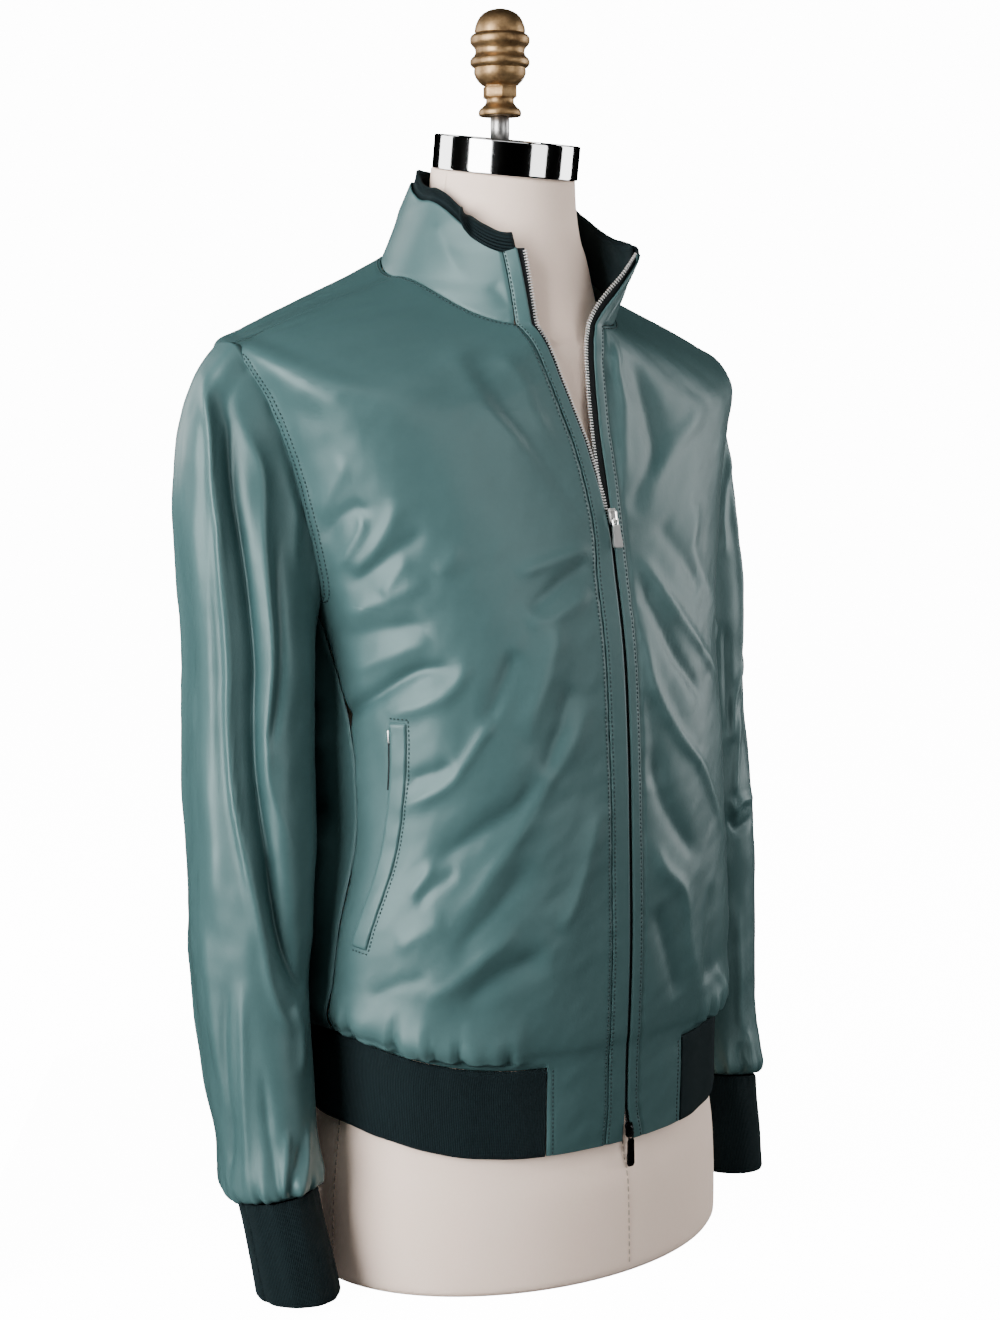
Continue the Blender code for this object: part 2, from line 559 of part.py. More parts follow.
def make_welt(name, right, leather):
    """A pocket welt laid on the front's own faces, slanting back towards its lower end."""
    angles, rings = front_grid(right)
    points = body(angles, rings[:, None])
    rows = []
    for i in np.flatnonzero((rings >= WELT_BOTTOM[1]) & (rings <= WELT_TOP[1])):
        share = (rings[i] - WELT_TOP[1]) / (WELT_BOTTOM[1] - WELT_TOP[1])
        centre = WELT_TOP[0] + share * (WELT_BOTTOM[0] - WELT_TOP[0])
        degrees = centre + np.linspace(-0.5, 0.5, 5) * WELT_WIDE
        at = np.radians(degrees if right else -180.0 - degrees[::-1])
        row = np.stack([np.interp(at, angles[i], points[i, :, k]) for k in range(3)], -1)
        rows.append(row + body_normal(at, np.full(5, rings[i])) * WELT_OUT)
    return grid_object(name, np.array(rows), WELT_THICK, leather)


def sleeve_fold_height(turn, z):
    lift = np.zeros(np.shape(turn))
    for start, high, end, low, half, depth in SLEEVE_FOLDS:
        t = (high - z) / (high - low)
        off = (turn - (start + (end - start) * t) + 180.0) % 360.0 - 180.0
        ends = smoothstep((t + 0.1) / 0.3) * smoothstep((1.1 - t) / 0.3)
        lift = lift + depth * np.exp(-((off / half) ** 2)) * ends
    fade = smoothstep((z - 0.079) / 0.012) * smoothstep((0.17 - z) / 0.08)
    for place in CUFF_GATHERS:
        off = (turn - place + 180.0) % 360.0 - 180.0
        lift = lift + 0.0032 * fade * np.exp(-((off / 8.0) ** 2))
    return lift


def sleeve_section(turn, columns, out=0.0):
    z, x, y, half_x, half_y, tilt = columns
    lift = sleeve_fold_height(turn, z) + out
    a = np.radians(turn)
    across = (half_x + lift) * np.cos(a)
    ahead = (half_y + lift) * np.sin(a)
    return np.stack([x + across, y - ahead, z - tilt * (across - ahead)], -1)


def armhole_curve(turn):
    """The left armhole seam on the torso's face, from the shoulder point round by the front."""
    turn = turn % 360.0
    front = turn <= 180.0
    share = (1.0 + np.cos(np.radians(turn))) / 2.0
    ring = UNDERARM + (SHOULDER - UNDERARM) * share
    angle = np.where(front, -armhole_angle(ring, True), armhole_angle(ring, False))
    return angle, ring


def hung_forward(points, ahead):
    """Sleeve points moved forward between the armhole and the cuff."""
    z = points[..., 2]
    moved = points.copy()
    moved[..., 1] -= ahead * smoothstep((z - 0.12) / 0.12) * smoothstep((0.60 - z) / 0.14)
    return moved


def sleeve_points(steps, turn, head):
    """Rows of the left sleeve from the armhole down, in a smooth run to the upper arm and then by its table."""
    angle, ring = armhole_curve(turn)
    seam = body_plain(angle, ring)
    face = body_normal(angle, ring)
    into = np.stack([np.ones(len(turn)), -0.25 * np.sin(np.radians(turn)), np.cos(np.radians(turn)) * 0.0], -1)
    leave = face * 0.9 + into * 0.5
    leave /= np.linalg.norm(leave, axis=-1, keepdims=True)
    start = seam + leave * 0.0011
    upper = sleeve_section(turn, SLEEVE_RINGS[0])
    a = np.radians(turn)
    cap = 0.5 * (1.0 + np.cos(a))
    drop = np.linalg.norm(upper - start, axis=-1)
    first = np.stack([0.10 + head * cap, -0.10 * np.sin(a), -1.0 + 0.10 * cap], -1)
    first /= np.linalg.norm(first, axis=-1, keepdims=True)
    rows = []
    for t in np.linspace(0.0, 1.0, steps + 1)[:-1]:
        one = start + first * (drop * 0.36)[:, None]
        two = upper + np.array([0.0, 0.0, 1.0]) * (drop * 0.40)[:, None]
        made = ((1 - t) ** 3 * start + 3 * t * (1 - t) ** 2 * one + 3 * t**2 * (1 - t) * two + t**3 * upper)
        centre = np.array([0.205, 0.03, 0.0])
        push = made - centre
        push[:, 2] = 0.0
        push /= np.maximum(np.linalg.norm(push, axis=-1, keepdims=True), 1e-6)
        lift = sleeve_fold_height(turn, made[:, 2]) - sleeve_fold_height(turn, upper[:, 2]) * t**3
        made = made + push * (lift * smoothstep(np.array(t * 4.0)))[:, None]
        rows.append(made)
    return rows


def make_sleeve(name, right, leather):
    turn = np.arange(0.0, 360.0, 180.0 / ARMHOLE_STEPS)
    rows = sleeve_points(7, turn, SLEEVE_HEAD_RIGHT if right else SLEEVE_HEAD_LEFT)
    for at in (0.0, 0.5, 1.0, 1.6, 2.3, 3.0, 3.6, 4.3, 5.0, 5.5, 6.0, 7.0, 8.0):
        rows.append(sleeve_section(turn, along(SLEEVE_RINGS, np.array(at))))
    points = np.array(rows)
    if right:
        points[..., 0] *= -1.0
    else:
        points = hung_forward(points, SLEEVE_AHEAD_LEFT)
    return grid_object(name, points, LEATHER, leather, wrap=True, flip=right)


def make_cuff(name, right, knit):
    turn = np.arange(0.0, 360.0, 15.0)
    a = np.radians(turn)
    rows = []
    for share in (0.0, 0.5, 1.0):
        z, x, y, half_x, half_y, tilt = (1 - share) * np.array(CUFF_TOP) + share * np.array(CUFF_BOTTOM)
        across, ahead = half_x * np.cos(a), half_y * np.sin(a)
        rows.append(np.stack([x + across, y - ahead, z - tilt * (across - ahead)], -1))
    points = np.array(rows)
    if right:
        points[..., 0] *= -1.0
    return grid_object(name, points, KNIT, knit, wrap=True, flip=right)


def make_form(linen):
    turn = np.radians(np.arange(-180.0, 180.0, 10.0))
    rings = []
    for z, half, y, front, back in FORM_BASE:
        deep = np.where(np.sin(turn) < 0, front, back)
        rings.append(np.stack([half * np.cos(turn), y + deep * np.sin(turn), np.full(turn.shape, z)], -1))
    ease = np.array(FORM_EASE)
    for ring in FORM_RINGS:
        inward = np.interp(ring, ease[:, 0], ease[:, 1])
        inward = inward + FORM_EASE_FRONT * smoothstep((-np.sin(turn) - 0.45) / 0.35) * smoothstep((ring - 8.0) / 2.0)
        rings.append(body_plain(turn, np.full(turn.shape, ring)) - body_normal(turn, ring) * inward[:, None])
    for z, half, y, deep in FORM_NECK:
        ring = np.stack([half * np.cos(turn), y + deep * np.sin(turn), np.full(turn.shape, z)], -1)
        ring[:, 2] += (ring[:, 1] - y) * math.tan(CAP_TILT)
        rings.append(ring)
    return loft_object("form_torso", rings, linen)


def tilted(point):
    x, y, z = point
    cos, sin = math.cos(CAP_TILT), math.sin(CAP_TILT)
    return (CAP_CENTRE[0] + x, CAP_CENTRE[1] + y * cos - z * sin, CAP_CENTRE[2] + y * sin + z * cos)


def make_cap(chrome):
    profile = ((1.0, 0.0), (1.012, 0.0012), (1.012, CAP_HEIGHT - 0.0012), (1.0, CAP_HEIGHT), (0.955, CAP_HEIGHT),
               (0.948, CAP_HEIGHT - 0.0012))
    rings = []
    for scale, z in profile:
        rings.append([tilted((CAP_HALF[0] * scale * math.cos(t), CAP_HALF[1] * scale * math.sin(t), z))
                      for t in np.linspace(0, 2 * math.pi, 32, endpoint=False)])
    return loft_object("neck_cap", rings, chrome)


def make_finial(brass):
    """A turned knob with two bead rings, a cup, a six-sided neck and a flared foot."""
    turn = np.radians(np.arange(0.0, 360.0, 15.0))
    six = HEX_HALF / np.cos(turn % math.radians(60.0) - math.radians(30.0))
    rounds = [(np.full(turn.shape, max(radius, FINIAL_TIP)), z) for radius, z in FINIAL]
    foot = [(np.full(turn.shape, radius), z) for radius, z in FINIAL_FOOT]
    rings = []
    for radius, z in reversed(rounds + [(six, HEX_TOP), (six, HEX_BOTTOM)] + foot):
        rings.append(np.stack([radius * np.cos(turn), POST_Y + radius * np.sin(turn), np.full(turn.shape, z)], -1))
    return loft_object("finial", rings, brass)


def make_post(steel):
    """The post between the cap's tilted plate and the finial's level foot."""
    plate = CAP_CENTRE[2] + CAP_HEIGHT * math.cos(CAP_TILT) - 0.0008
    rings = []
    for share in (0.0, 1.0):
        ring = []
        for t in np.linspace(0, 2 * math.pi, 16, endpoint=False):
            x, y = POST_RADIUS * math.cos(t), POST_Y + POST_RADIUS * math.sin(t)
            foot = plate + (y - CAP_CENTRE[1] + CAP_HEIGHT * math.sin(CAP_TILT)) * math.tan(CAP_TILT)
            ring.append((x, y, foot + share * (POST_TOP - foot)))
        rings.append(ring)
    return loft_object("post", rings, steel)


def main():
    clear_scene()
    leather = material("leather", (0.045, 0.125, 0.120), 0.38)
    knit = material("knit", (0.008, 0.022, 0.026), 0.90)
    linen = material("linen", (0.62, 0.53, 0.47), 0.85)
    chrome = material("chrome", (0.85, 0.85, 0.86), 0.10, 1.0)
    steel = material("steel", (0.45, 0.44, 0.43), 0.30, 1.0)
    brass = material("brass", (0.36, 0.22, 0.09), 0.42, 1.0)
    make_front("front_right", True, leather)
    make_front("front_left", False, leather)
    make_back(leather)
    make_placket("placket_right", True, leather)
    make_placket("placket_left", False, leather)
    make_collar_leather(leather)
    make_collar_knit(knit)
    make_hem(knit)
    make_sleeve("sleeve_right", True, leather)
    make_sleeve("sleeve_left", False, leather)
    make_cuff("cuff_right", True, knit)
    make_cuff("cuff_left", False, knit)
    tape = material("zip_tape", (0.012, 0.016, 0.018), 0.6)
    nickel = material("nickel", (0.62, 0.61, 0.60), 0.22, 1.0)
    black = material("black_metal", (0.015, 0.015, 0.016), 0.28, 1.0)
    make_zip("zip_right", True, tape)
    make_zip("zip_left", False, tape)
    _, top = make_slider("slider_top", *SLIDER_TOP, 1.0, nickel)
    make_pull("pull_top", top, 1.0, TOP_TAB, nickel)
    _, low = make_slider("slider_bottom", *SLIDER_BOTTOM, 0.9, black)
    make_pull("pull_bottom", low, 0.9, BOTTOM_TAB, black)
    make_welt("welt_right", True, leather)
    make_welt("welt_left", False, leather)
    make_form(linen)
    make_cap(chrome)
    make_finial(brass)
    make_post(steel)


main()
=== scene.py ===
import math

import bpy
import numpy as np
from mathutils import Matrix


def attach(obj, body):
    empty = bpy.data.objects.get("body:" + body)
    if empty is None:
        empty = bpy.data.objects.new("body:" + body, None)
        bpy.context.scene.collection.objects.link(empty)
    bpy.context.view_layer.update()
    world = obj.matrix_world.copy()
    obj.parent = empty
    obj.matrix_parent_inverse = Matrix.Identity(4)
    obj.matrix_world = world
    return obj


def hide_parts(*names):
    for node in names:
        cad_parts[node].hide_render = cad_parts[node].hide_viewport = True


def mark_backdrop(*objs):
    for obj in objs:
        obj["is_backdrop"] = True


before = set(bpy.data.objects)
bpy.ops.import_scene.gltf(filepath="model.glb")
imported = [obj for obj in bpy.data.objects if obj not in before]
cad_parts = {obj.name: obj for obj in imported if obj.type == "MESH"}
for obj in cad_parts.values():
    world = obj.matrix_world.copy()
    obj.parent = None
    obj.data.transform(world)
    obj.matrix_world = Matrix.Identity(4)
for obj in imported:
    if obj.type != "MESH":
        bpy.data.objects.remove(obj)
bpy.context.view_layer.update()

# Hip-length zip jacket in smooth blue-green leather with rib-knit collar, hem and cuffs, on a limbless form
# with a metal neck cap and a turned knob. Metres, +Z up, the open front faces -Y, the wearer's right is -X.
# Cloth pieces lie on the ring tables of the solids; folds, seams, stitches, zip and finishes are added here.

LEATHER, KNIT, SEAM = 0.0018, 0.0026, 0.00025
WALL = 0.0012                  # thickness of the leather as it is seen at its edges

# How far each row of stitches lies from the edge that it holds.
ARMHOLE_ROWS, NECK_ROW, TAB_ROW, EDGE_ROW, PLACKET_ROW = (0.0042, 0.0094), 0.0026, 0.0045, 0.0023, 0.0021
FOLD_SHADE_AND_WEAR = 300.0              # how strongly a fold's height, in metres, feeds the leather's tone: painted shade in its trough, wear and painted highlight on its ridge
GLOW = 14.0                    # strength of the floor and the backdrop, which only the camera sees

# ---------------------------------------------------------------- the surfaces that the cloth lies on

# Torso rings, hem to neck: z at side, front and back, half width, y at side, front and back, squareness,
# share of the way to the centre by which z has changed, and x of the middle.
BODY_RINGS = (
    (0.121, 0.100, 0.119, 0.1735, -0.0125, -0.1405, 0.1135, 2.10, 1.00, 0.000),
    (0.186, 0.166, 0.184, 0.1725, -0.0135, -0.1412, 0.1110, 2.15, 1.00, 0.000),
    (0.206, 0.188, 0.204, 0.1785, -0.0155, -0.1430, 0.1160, 2.20, 1.00, 0.000),
    (0.262, 0.250, 0.262, 0.1765, -0.0190, -0.1448, 0.1030, 2.25, 1.00, 0.002),
    (0.330, 0.325, 0.330, 0.1640, -0.0220, -0.1436, 0.0875, 2.30, 1.00, 0.004),
    (0.400, 0.398, 0.400, 0.1625, -0.0180, -0.1408, 0.0960, 2.35, 1.00, 0.003),
    (0.468, 0.466, 0.470, 0.1675, -0.0010, -0.1356, 0.1130, 2.35, 1.00, 0.000),
    (0.530, 0.524, 0.535, 0.1830, 0.0120, -0.1255, 0.1220, 2.35, 1.00, 0.000),
    (0.590, 0.572, 0.600, 0.1975, 0.0210, -0.1170, 0.1280, 2.35, 1.00, 0.000),
    (0.645, 0.610, 0.655, 0.2140, 0.0270, -0.1085, 0.1300, 2.35, 1.00, 0.000),
    (0.6810, 0.638, 0.690, 0.2270, 0.0340, -0.1020, 0.1240, 2.35, 1.00, 0.000),
    (0.6920, 0.654, 0.706, 0.2070, 0.0330, -0.0985, 0.1170, 2.30, 1.00, 0.000),
    (0.7045, 0.669, 0.721, 0.1760, 0.0310, -0.0950, 0.1090, 2.20, 0.98, 0.000),
    (0.7200, 0.685, 0.738, 0.1330, 0.0290, -0.0915, 0.1010, 2.10, 0.95, 0.000),
    (0.7370, 0.7005, 0.757, 0.0850, 0.0250, -0.0880, 0.0920, 2.00, 0.90, 0.000),
)
COLLAR_TOP = (0.7920, 0.7555, 0.8090, 0.0680, 0.0110, -0.0860, 0.0710, 2.00, 0.75, 0.000)
RIB_TOP, UNDERARM, SHOULDER, NECK = 1.0, 6.55, 10.0, 14.0
KNIT_BEHIND, KNIT_STANDS, KNIT_INSET = 0.0011, 0.0095, 0.0096
# Ends of the pocket strip: angle and ring number.
WELT_TOP, WELT_BOTTOM = (-160.0, 5.3), (-170.5, 2.9)
# The two front edges: height and x.
EDGE_RIGHT = ((0.098, -0.0036), (0.108, -0.0030), (0.125, -0.0014), (0.545, -0.0014), (0.562, -0.0030),
              (0.582, -0.0065), (0.618, -0.0140), (0.661, -0.0280), (0.702, -0.0385), (0.757, -0.0430))
EDGE_LEFT = ((0.098, 0.0070), (0.108, 0.0052), (0.125, 0.0014), (0.545, 0.0014), (0.570, 0.0016),
             (0.610, 0.0018), (0.632, 0.0030), (0.655, 0.0045), (0.676, 0.0070), (0.691, 0.0100),
             (0.702, 0.0150), (0.738, 0.0310), (0.757, 0.0420))
PLACKET_RIGHT, PLACKET_LEFT = 0.0165, 0.0105
ZIP_BEHIND, COLLAR_SLACK = 0.0006, 0.55
TAB_RIGHT, TAB_LEFT = 0.070, 0.062
COLLAR_POINT_LEFT = (0.017, -0.022, -0.003)
ARMHOLE_FRONT, ARMHOLE_BACK = 0.0255, 0.052
# Left sleeve, underarm to cuff: z, x and y of the middle, half width and depth, tilt. The right mirrors it.
SLEEVE_RINGS = (
    (0.4550, 0.2140, 0.0305, 0.0440, 0.0520, 0.00),
    (0.3950, 0.2160, 0.0300, 0.0445, 0.0515, 0.00),
    (0.3300, 0.2190, 0.0240, 0.0445, 0.0510, 0.00),
    (0.2700, 0.2235, 0.0205, 0.0425, 0.0495, 0.00),
    (0.2200, 0.2260, 0.0165, 0.0395, 0.0460, 0.00),
    (0.1330, 0.2265, 0.0015, 0.0350, 0.0430, 0.03),
    (0.1000, 0.2275, -0.0045, 0.0340, 0.0410, 0.08),
    (0.0860, 0.2272, -0.0085, 0.0325, 0.0390, 0.12),
    (0.0785, 0.2260, -0.0134, 0.0272, 0.0320, 0.14),
)
SLEEVE_AHEAD_LEFT = 0.0085
SLEEVE_HEAD_RIGHT, SLEEVE_HEAD_LEFT = 0.85, 0.50
CUFF_TOP = (0.0780, 0.2260, -0.0135, 0.0268, 0.0315, 0.14)
CUFF_BOTTOM = (0.0046, 0.2180, -0.0280, 0.0290, 0.0340, 0.03)
# Form below the hem: z, half width, y of the middle, depth in front and behind.
FORM_BASE = (
    (0.0000, 0.1745, -0.0125, 0.1300, 0.1290),
    (0.0030, 0.1760, -0.0128, 0.1315, 0.1300),
    (0.0300, 0.1762, -0.0130, 0.1310, 0.1300),
    (0.0700, 0.1745, -0.0128, 0.1295, 0.1285),
)
# How far the form lies inside the jacket, by ring number.
FORM_EASE = ((0.0, 0.0045), (1.0, 0.0045), (2.0, 0.0095), (3.0, 0.0100), (4.0, 0.0095), (5.0, 0.0085),
             (6.0, 0.0080), (7.0, 0.0090), (8.0, 0.0085), (9.0, 0.0060), (10.0, 0.0048), (11.0, 0.0030),
             (12.0, 0.0030), (13.0, 0.0030), (14.0, 0.0085))
FORM_EASE_FRONT = 0.0050
# Neck of the form: z, half width, y of the middle, half depth.
FORM_NECK = (
    (0.757, 0.0640, 0.0060, 0.0660),
    (0.770, 0.0585, 0.0045, 0.0610),
    (0.790, 0.0550, 0.0040, 0.0575),
    (0.8137, 0.0530, 0.0030, 0.0558),
)
CAP_TILT = math.radians(8.0)
CAP_CENTRE = (0.0, 0.001, 0.8138)
CAP_HALF = (0.0530, 0.0560)
CAP_HEIGHT = 0.0250
POST_Y, POST_RADIUS, POST_TOP = 0.0065, 0.0071, 0.8562

# Folds: half width and height in metres, negative for a trough, then points as angle in degrees and height.
RIGHT_FRONT_FOLDS = (
    (0.005, 0.0012, (-118, 0.68), (-105, 0.658), (-98, 0.614)),
    (0.009, -0.0022, (-128, 0.685), (-109, 0.647), (-102, 0.6), (-96, 0.561)),
    (0.008, 0.0016, (-142, 0.696), (-116, 0.657), (-104, 0.608), (-97, 0.561)),
    (0.007, 0.0018, (-93, 0.542), (-103, 0.534), (-115, 0.524)),
    (0.007, -0.0018, (-95, 0.532), (-104, 0.516), (-113, 0.497)),
    (0.008, 0.0016, (-95, 0.511), (-105, 0.495), (-115, 0.488)),
    (0.008, 0.0018, (-168, 0.565), (-159, 0.586), (-151, 0.606)),
    (0.007, -0.0022, (-169, 0.544), (-161, 0.563), (-153, 0.572), (-151, 0.566)),
    (0.005, 0.0020, (-168, 0.525), (-160, 0.541), (-154, 0.556), (-152, 0.567)),
    (0.008, -0.0023, (-166, 0.513), (-154, 0.529), (-144, 0.543), (-134, 0.559)),
    (0.007, 0.0024, (-162, 0.525), (-151, 0.544), (-138, 0.582)),
    (0.005, 0.0014, (-154, 0.51), (-148, 0.523), (-142, 0.539)),
    (0.006, 0.0012, (-135, 0.526), (-131, 0.534), (-128, 0.546)),
    (0.009, 0.0020, (-170, 0.493), (-153, 0.507), (-138, 0.522)),
    (0.010, -0.0021, (-175, 0.476), (-157, 0.486), (-141, 0.49)),
    (0.008, 0.0022, (-175, 0.452), (-156, 0.468), (-142, 0.481)),
    (0.007, -0.0046, (-184, 0.411), (-178, 0.423), (-165, 0.439), (-149, 0.457), (-135, 0.46)),
    (0.007, 0.0026, (-165, 0.424), (-151, 0.432), (-140, 0.444), (-132, 0.466)),
    (0.007, -0.0023, (-160, 0.377), (-151, 0.384), (-142, 0.392)),
    (0.006, 0.0025, (-166, 0.354), (-155, 0.365), (-145, 0.376), (-138, 0.394), (-132, 0.413), (-121, 0.439)),
    (0.012, -0.0034, (-152, 0.317), (-143, 0.331), (-132, 0.347), (-122, 0.362), (-115, 0.386)),
    (0.0055, 0.0018, (-156, 0.295), (-153, 0.305), (-149, 0.32)),
    (0.008, -0.0018, (-154, 0.29), (-148, 0.304), (-141, 0.315)),
    (0.01, 0.0022, (-140, 0.274), (-134, 0.302), (-124, 0.337), (-115, 0.372), (-105, 0.409), (-100, 0.433)),
    (0.011, -0.0028, (-140, 0.251), (-133, 0.274), (-126, 0.295), (-118, 0.322)),
    (0.009, 0.002, (-110, 0.266), (-106, 0.287), (-102, 0.325), (-99, 0.36)),
    (0.012, -0.0032, (-136, 0.215), (-128, 0.234), (-120, 0.246), (-112, 0.252)),
    (0.009, 0.0024, (-148, 0.223), (-138, 0.235), (-129, 0.256), (-121, 0.272)),
    (0.01, 0.002, (-158, 0.258), (-150, 0.27), (-143, 0.281)),
    (0.008, -0.0016, (-166, 0.219), (-155, 0.233), (-145, 0.239)),
    (0.01, -0.0024, (-118, 0.472), (-125, 0.444), (-131, 0.416)),
    (0.012, 0.0024, (-105, 0.491), (-112, 0.45), (-121, 0.408)),
    (0.01, -0.0022, (-104, 0.448), (-109, 0.413), (-115, 0.379)),
    (0.007, 0.0018, (-180, 0.388), (-182, 0.343), (-181, 0.3)),
)
LEFT_FRONT_FOLDS = (
    (0.005, 0.0034, (-72, 0.697), (-82, 0.671), (-85, 0.642), (-86, 0.61), (-87, 0.578)),
    (0.007, -0.0032, (-83, 0.681), (-87, 0.646), (-88, 0.61)),
    (0.009, -0.004, (-73, 0.681), (-79, 0.646), (-78, 0.609), (-83, 0.58), (-87, 0.563)),
    (0.012, 0.003, (-86, 0.568), (-78, 0.594), (-68, 0.623), (-58, 0.646)),
    (0.007, 0.003, (-86, 0.538), (-82, 0.521), (-77, 0.501), (-67, 0.474), (-52, 0.442), (-38, 0.429)),
    (0.009, -0.0034, (-86, 0.522), (-81, 0.491), (-73, 0.453), (-60, 0.418)),
    (0.006, 0.003, (-86, 0.501), (-85, 0.468), (-83, 0.435), (-75, 0.399), (-65, 0.373), (-53, 0.335),
     (-36, 0.284)),
    (0.012, -0.0032, (-86, 0.399), (-83, 0.361), (-76, 0.328), (-66, 0.299)),
    (0.008, 0.0028, (-88, 0.333), (-82, 0.302), (-74, 0.278), (-71, 0.234), (-65, 0.191)),
    (0.01, -0.0026, (-85, 0.276), (-80, 0.239), (-75, 0.198)),
    (0.006, 0.0018, (-57, 0.213), (-39, 0.172)),
    (0.009, -0.0024, (-59, 0.281), (-62, 0.236), (-61, 0.2)),
    (0.014, 0.0022, (-61, 0.57), (-64, 0.526), (-39, 0.472)),
    (0.01, -0.0018, (-79, 0.558), (-71, 0.531), (-61, 0.503)),
    (0.01, -0.002, (-87, 0.436), (-85, 0.398), (-85, 0.361)),
    (0.008, -0.003, (-4, 0.52), (-22, 0.5), (-44, 0.486)),
    (0.008, 0.003, (-4, 0.5), (-24, 0.478), (-40, 0.462)),
    (0.010, -0.003, (-2, 0.44), (-20, 0.42), (-40, 0.40)),
    (0.009, 0.0026, (-2, 0.36), (-18, 0.33), (-34, 0.29)),
    (0.010, -0.0026, (-6, 0.33), (-24, 0.29), (-38, 0.24)),
)
BACK_FOLDS = (
    (0.009, -0.0040, (4, 0.44), (28, 0.425), (58, 0.43), (82, 0.436)),
    (0.008, 0.0036, (2, 0.415), (30, 0.405), (60, 0.41), (86, 0.42)),
    (0.009, -0.0036, (176, 0.43), (150, 0.41), (122, 0.408), (98, 0.412)),
    (0.008, 0.0034, (178, 0.405), (148, 0.388), (118, 0.386), (90, 0.396)),
    (0.010, -0.0034, (6, 0.36), (34, 0.345), (62, 0.33)),
    (0.009, 0.0030, (8, 0.33), (38, 0.318), (70, 0.306)),
    (0.010, -0.0030, (172, 0.35), (146, 0.335), (116, 0.326)),
    (0.009, 0.0030, (174, 0.325), (142, 0.305), (112, 0.30)),
    (0.012, 0.0032, (54, 0.61), (60, 0.55), (68, 0.48), (72, 0.44)),
    (0.012, 0.0032, (126, 0.62), (120, 0.56), (112, 0.50), (108, 0.45)),
    (0.012, -0.0030, (40, 0.63), (50, 0.57), (58, 0.50)),
    (0.012, -0.0030, (140, 0.63), (130, 0.57), (122, 0.50)),
    (0.009, 0.0028, (18, 0.55), (30, 0.50), (46, 0.46)),
    (0.009, 0.0028, (162, 0.55), (150, 0.50), (134, 0.46)),
    (0.009, -0.0028, (12, 0.52), (26, 0.475), (40, 0.45)),
    (0.009, -0.0028, (168, 0.52), (154, 0.475), (140, 0.45)),
    (0.011, 0.0028, (86, 0.36), (90, 0.31), (88, 0.25)),
    (0.011, -0.0026, (100, 0.37), (104, 0.32), (102, 0.26)),
    (0.010, 0.0026, (30, 0.28), (34, 0.25), (36, 0.21)),
    (0.010, 0.0026, (150, 0.28), (146, 0.25), (144, 0.21)),
    (0.012, -0.0020, (70, 0.70), (84, 0.69), (100, 0.70)),
)
RIGHT_SLEEVE_FOLDS = (
    (0.014, 0.0050, (8, 0.60), (14, 0.52), (16, 0.42), (20, 0.33), (24, 0.26)),
    (0.0045, 0.0016, (-21, 0.679), (26, 0.632), (30, 0.568), (22, 0.49), (23, 0.408), (27, 0.367)),
    (0.0032, 0.0018, (36, 0.634), (40, 0.579), (32, 0.506), (37, 0.395), (45, 0.332), (56, 0.269)),
    (0.010, -0.0115, (-1, 0.681), (42, 0.632), (54, 0.565), (53, 0.487), (54, 0.408), (64, 0.34), (88, 0.259),
     (112, 0.219)),
    (0.0036, 0.0044, (-10, 0.675), (25, 0.632), (36, 0.565), (35, 0.487), (36, 0.408), (44, 0.34),
     (64, 0.265)),
    (0.005, 0.003, (28, 0.662), (59, 0.621), (76, 0.585), (74, 0.526), (70, 0.438), (67, 0.406), (72, 0.367),
     (100, 0.321)),
    (0.006, -0.0026, (92, 0.563), (84, 0.509), (77, 0.438), (70, 0.399)),
    (0.007, 0.002, (81, 0.619), (101, 0.577), (108, 0.521)),
    (0.005, 0.002, (46, 0.367), (52, 0.325), (62, 0.275), (76, 0.225), (98, 0.194)),
    (0.006, -0.0026, (62, 0.332), (74, 0.29), (101, 0.24), (120, 0.225)),
    (0.007, 0.0022, (98, 0.219), (108, 0.197), (103, 0.165)),
    (0.006, -0.0024, (35, 0.253), (18, 0.187), (12, 0.129), (-5, 0.074)),
    (0.005, 0.0022, (46, 0.24), (38, 0.183), (30, 0.132), (27, 0.086)),
    (0.009, 0.0022, (4, 0.292), (9, 0.235), (10, 0.18), (12, 0.129)),
    (0.006, -0.002, (57, 0.184), (55, 0.134), (59, 0.099), (57, 0.08)),
    (0.005, 0.002, (76, 0.133), (72, 0.108), (62, 0.083)),
    (0.005, -0.0022, (95, 0.123), (80, 0.098), (62, 0.081)),
    (0.005, 0.002, (109, 0.135), (98, 0.105), (82, 0.082)),
)
LEFT_SLEEVE_FOLDS = (
    (0.005, 0.002, (34, 0.611), (76, 0.562), (90, 0.514)),
    (0.006, -0.0022, (96, 0.466), (94, 0.415), (94, 0.367)),
    (0.005, 0.0024, (48, 0.445), (84, 0.399), (92, 0.362)),
    (0.005, 0.0026, (74, 0.397), (88, 0.349), (96, 0.317)),
    (0.004, 0.0028, (100, 0.321), (95, 0.307), (84, 0.315), (48, 0.313)),
    (0.005, -0.0026, (104, 0.305), (94, 0.292), (64, 0.3)),
    (0.006, 0.0018, (98, 0.231), (99, 0.165), (102, 0.114)),
    (0.005, 0.0018, (90, 0.121), (92, 0.097), (90, 0.083)),
    (0.005, -0.0018, (104, 0.114), (108, 0.094), (106, 0.084)),
    (0.008, -0.0050, (10, 0.66), (40, 0.60), (50, 0.52), (52, 0.43), (60, 0.33)),
    (0.006, 0.0030, (22, 0.64), (58, 0.58), (66, 0.50), (70, 0.40)),
    (0.008, 0.0024, (18, 0.56), (24, 0.46), (26, 0.36)),
    (0.007, -0.0026, (30, 0.26), (24, 0.18), (18, 0.09)),
)
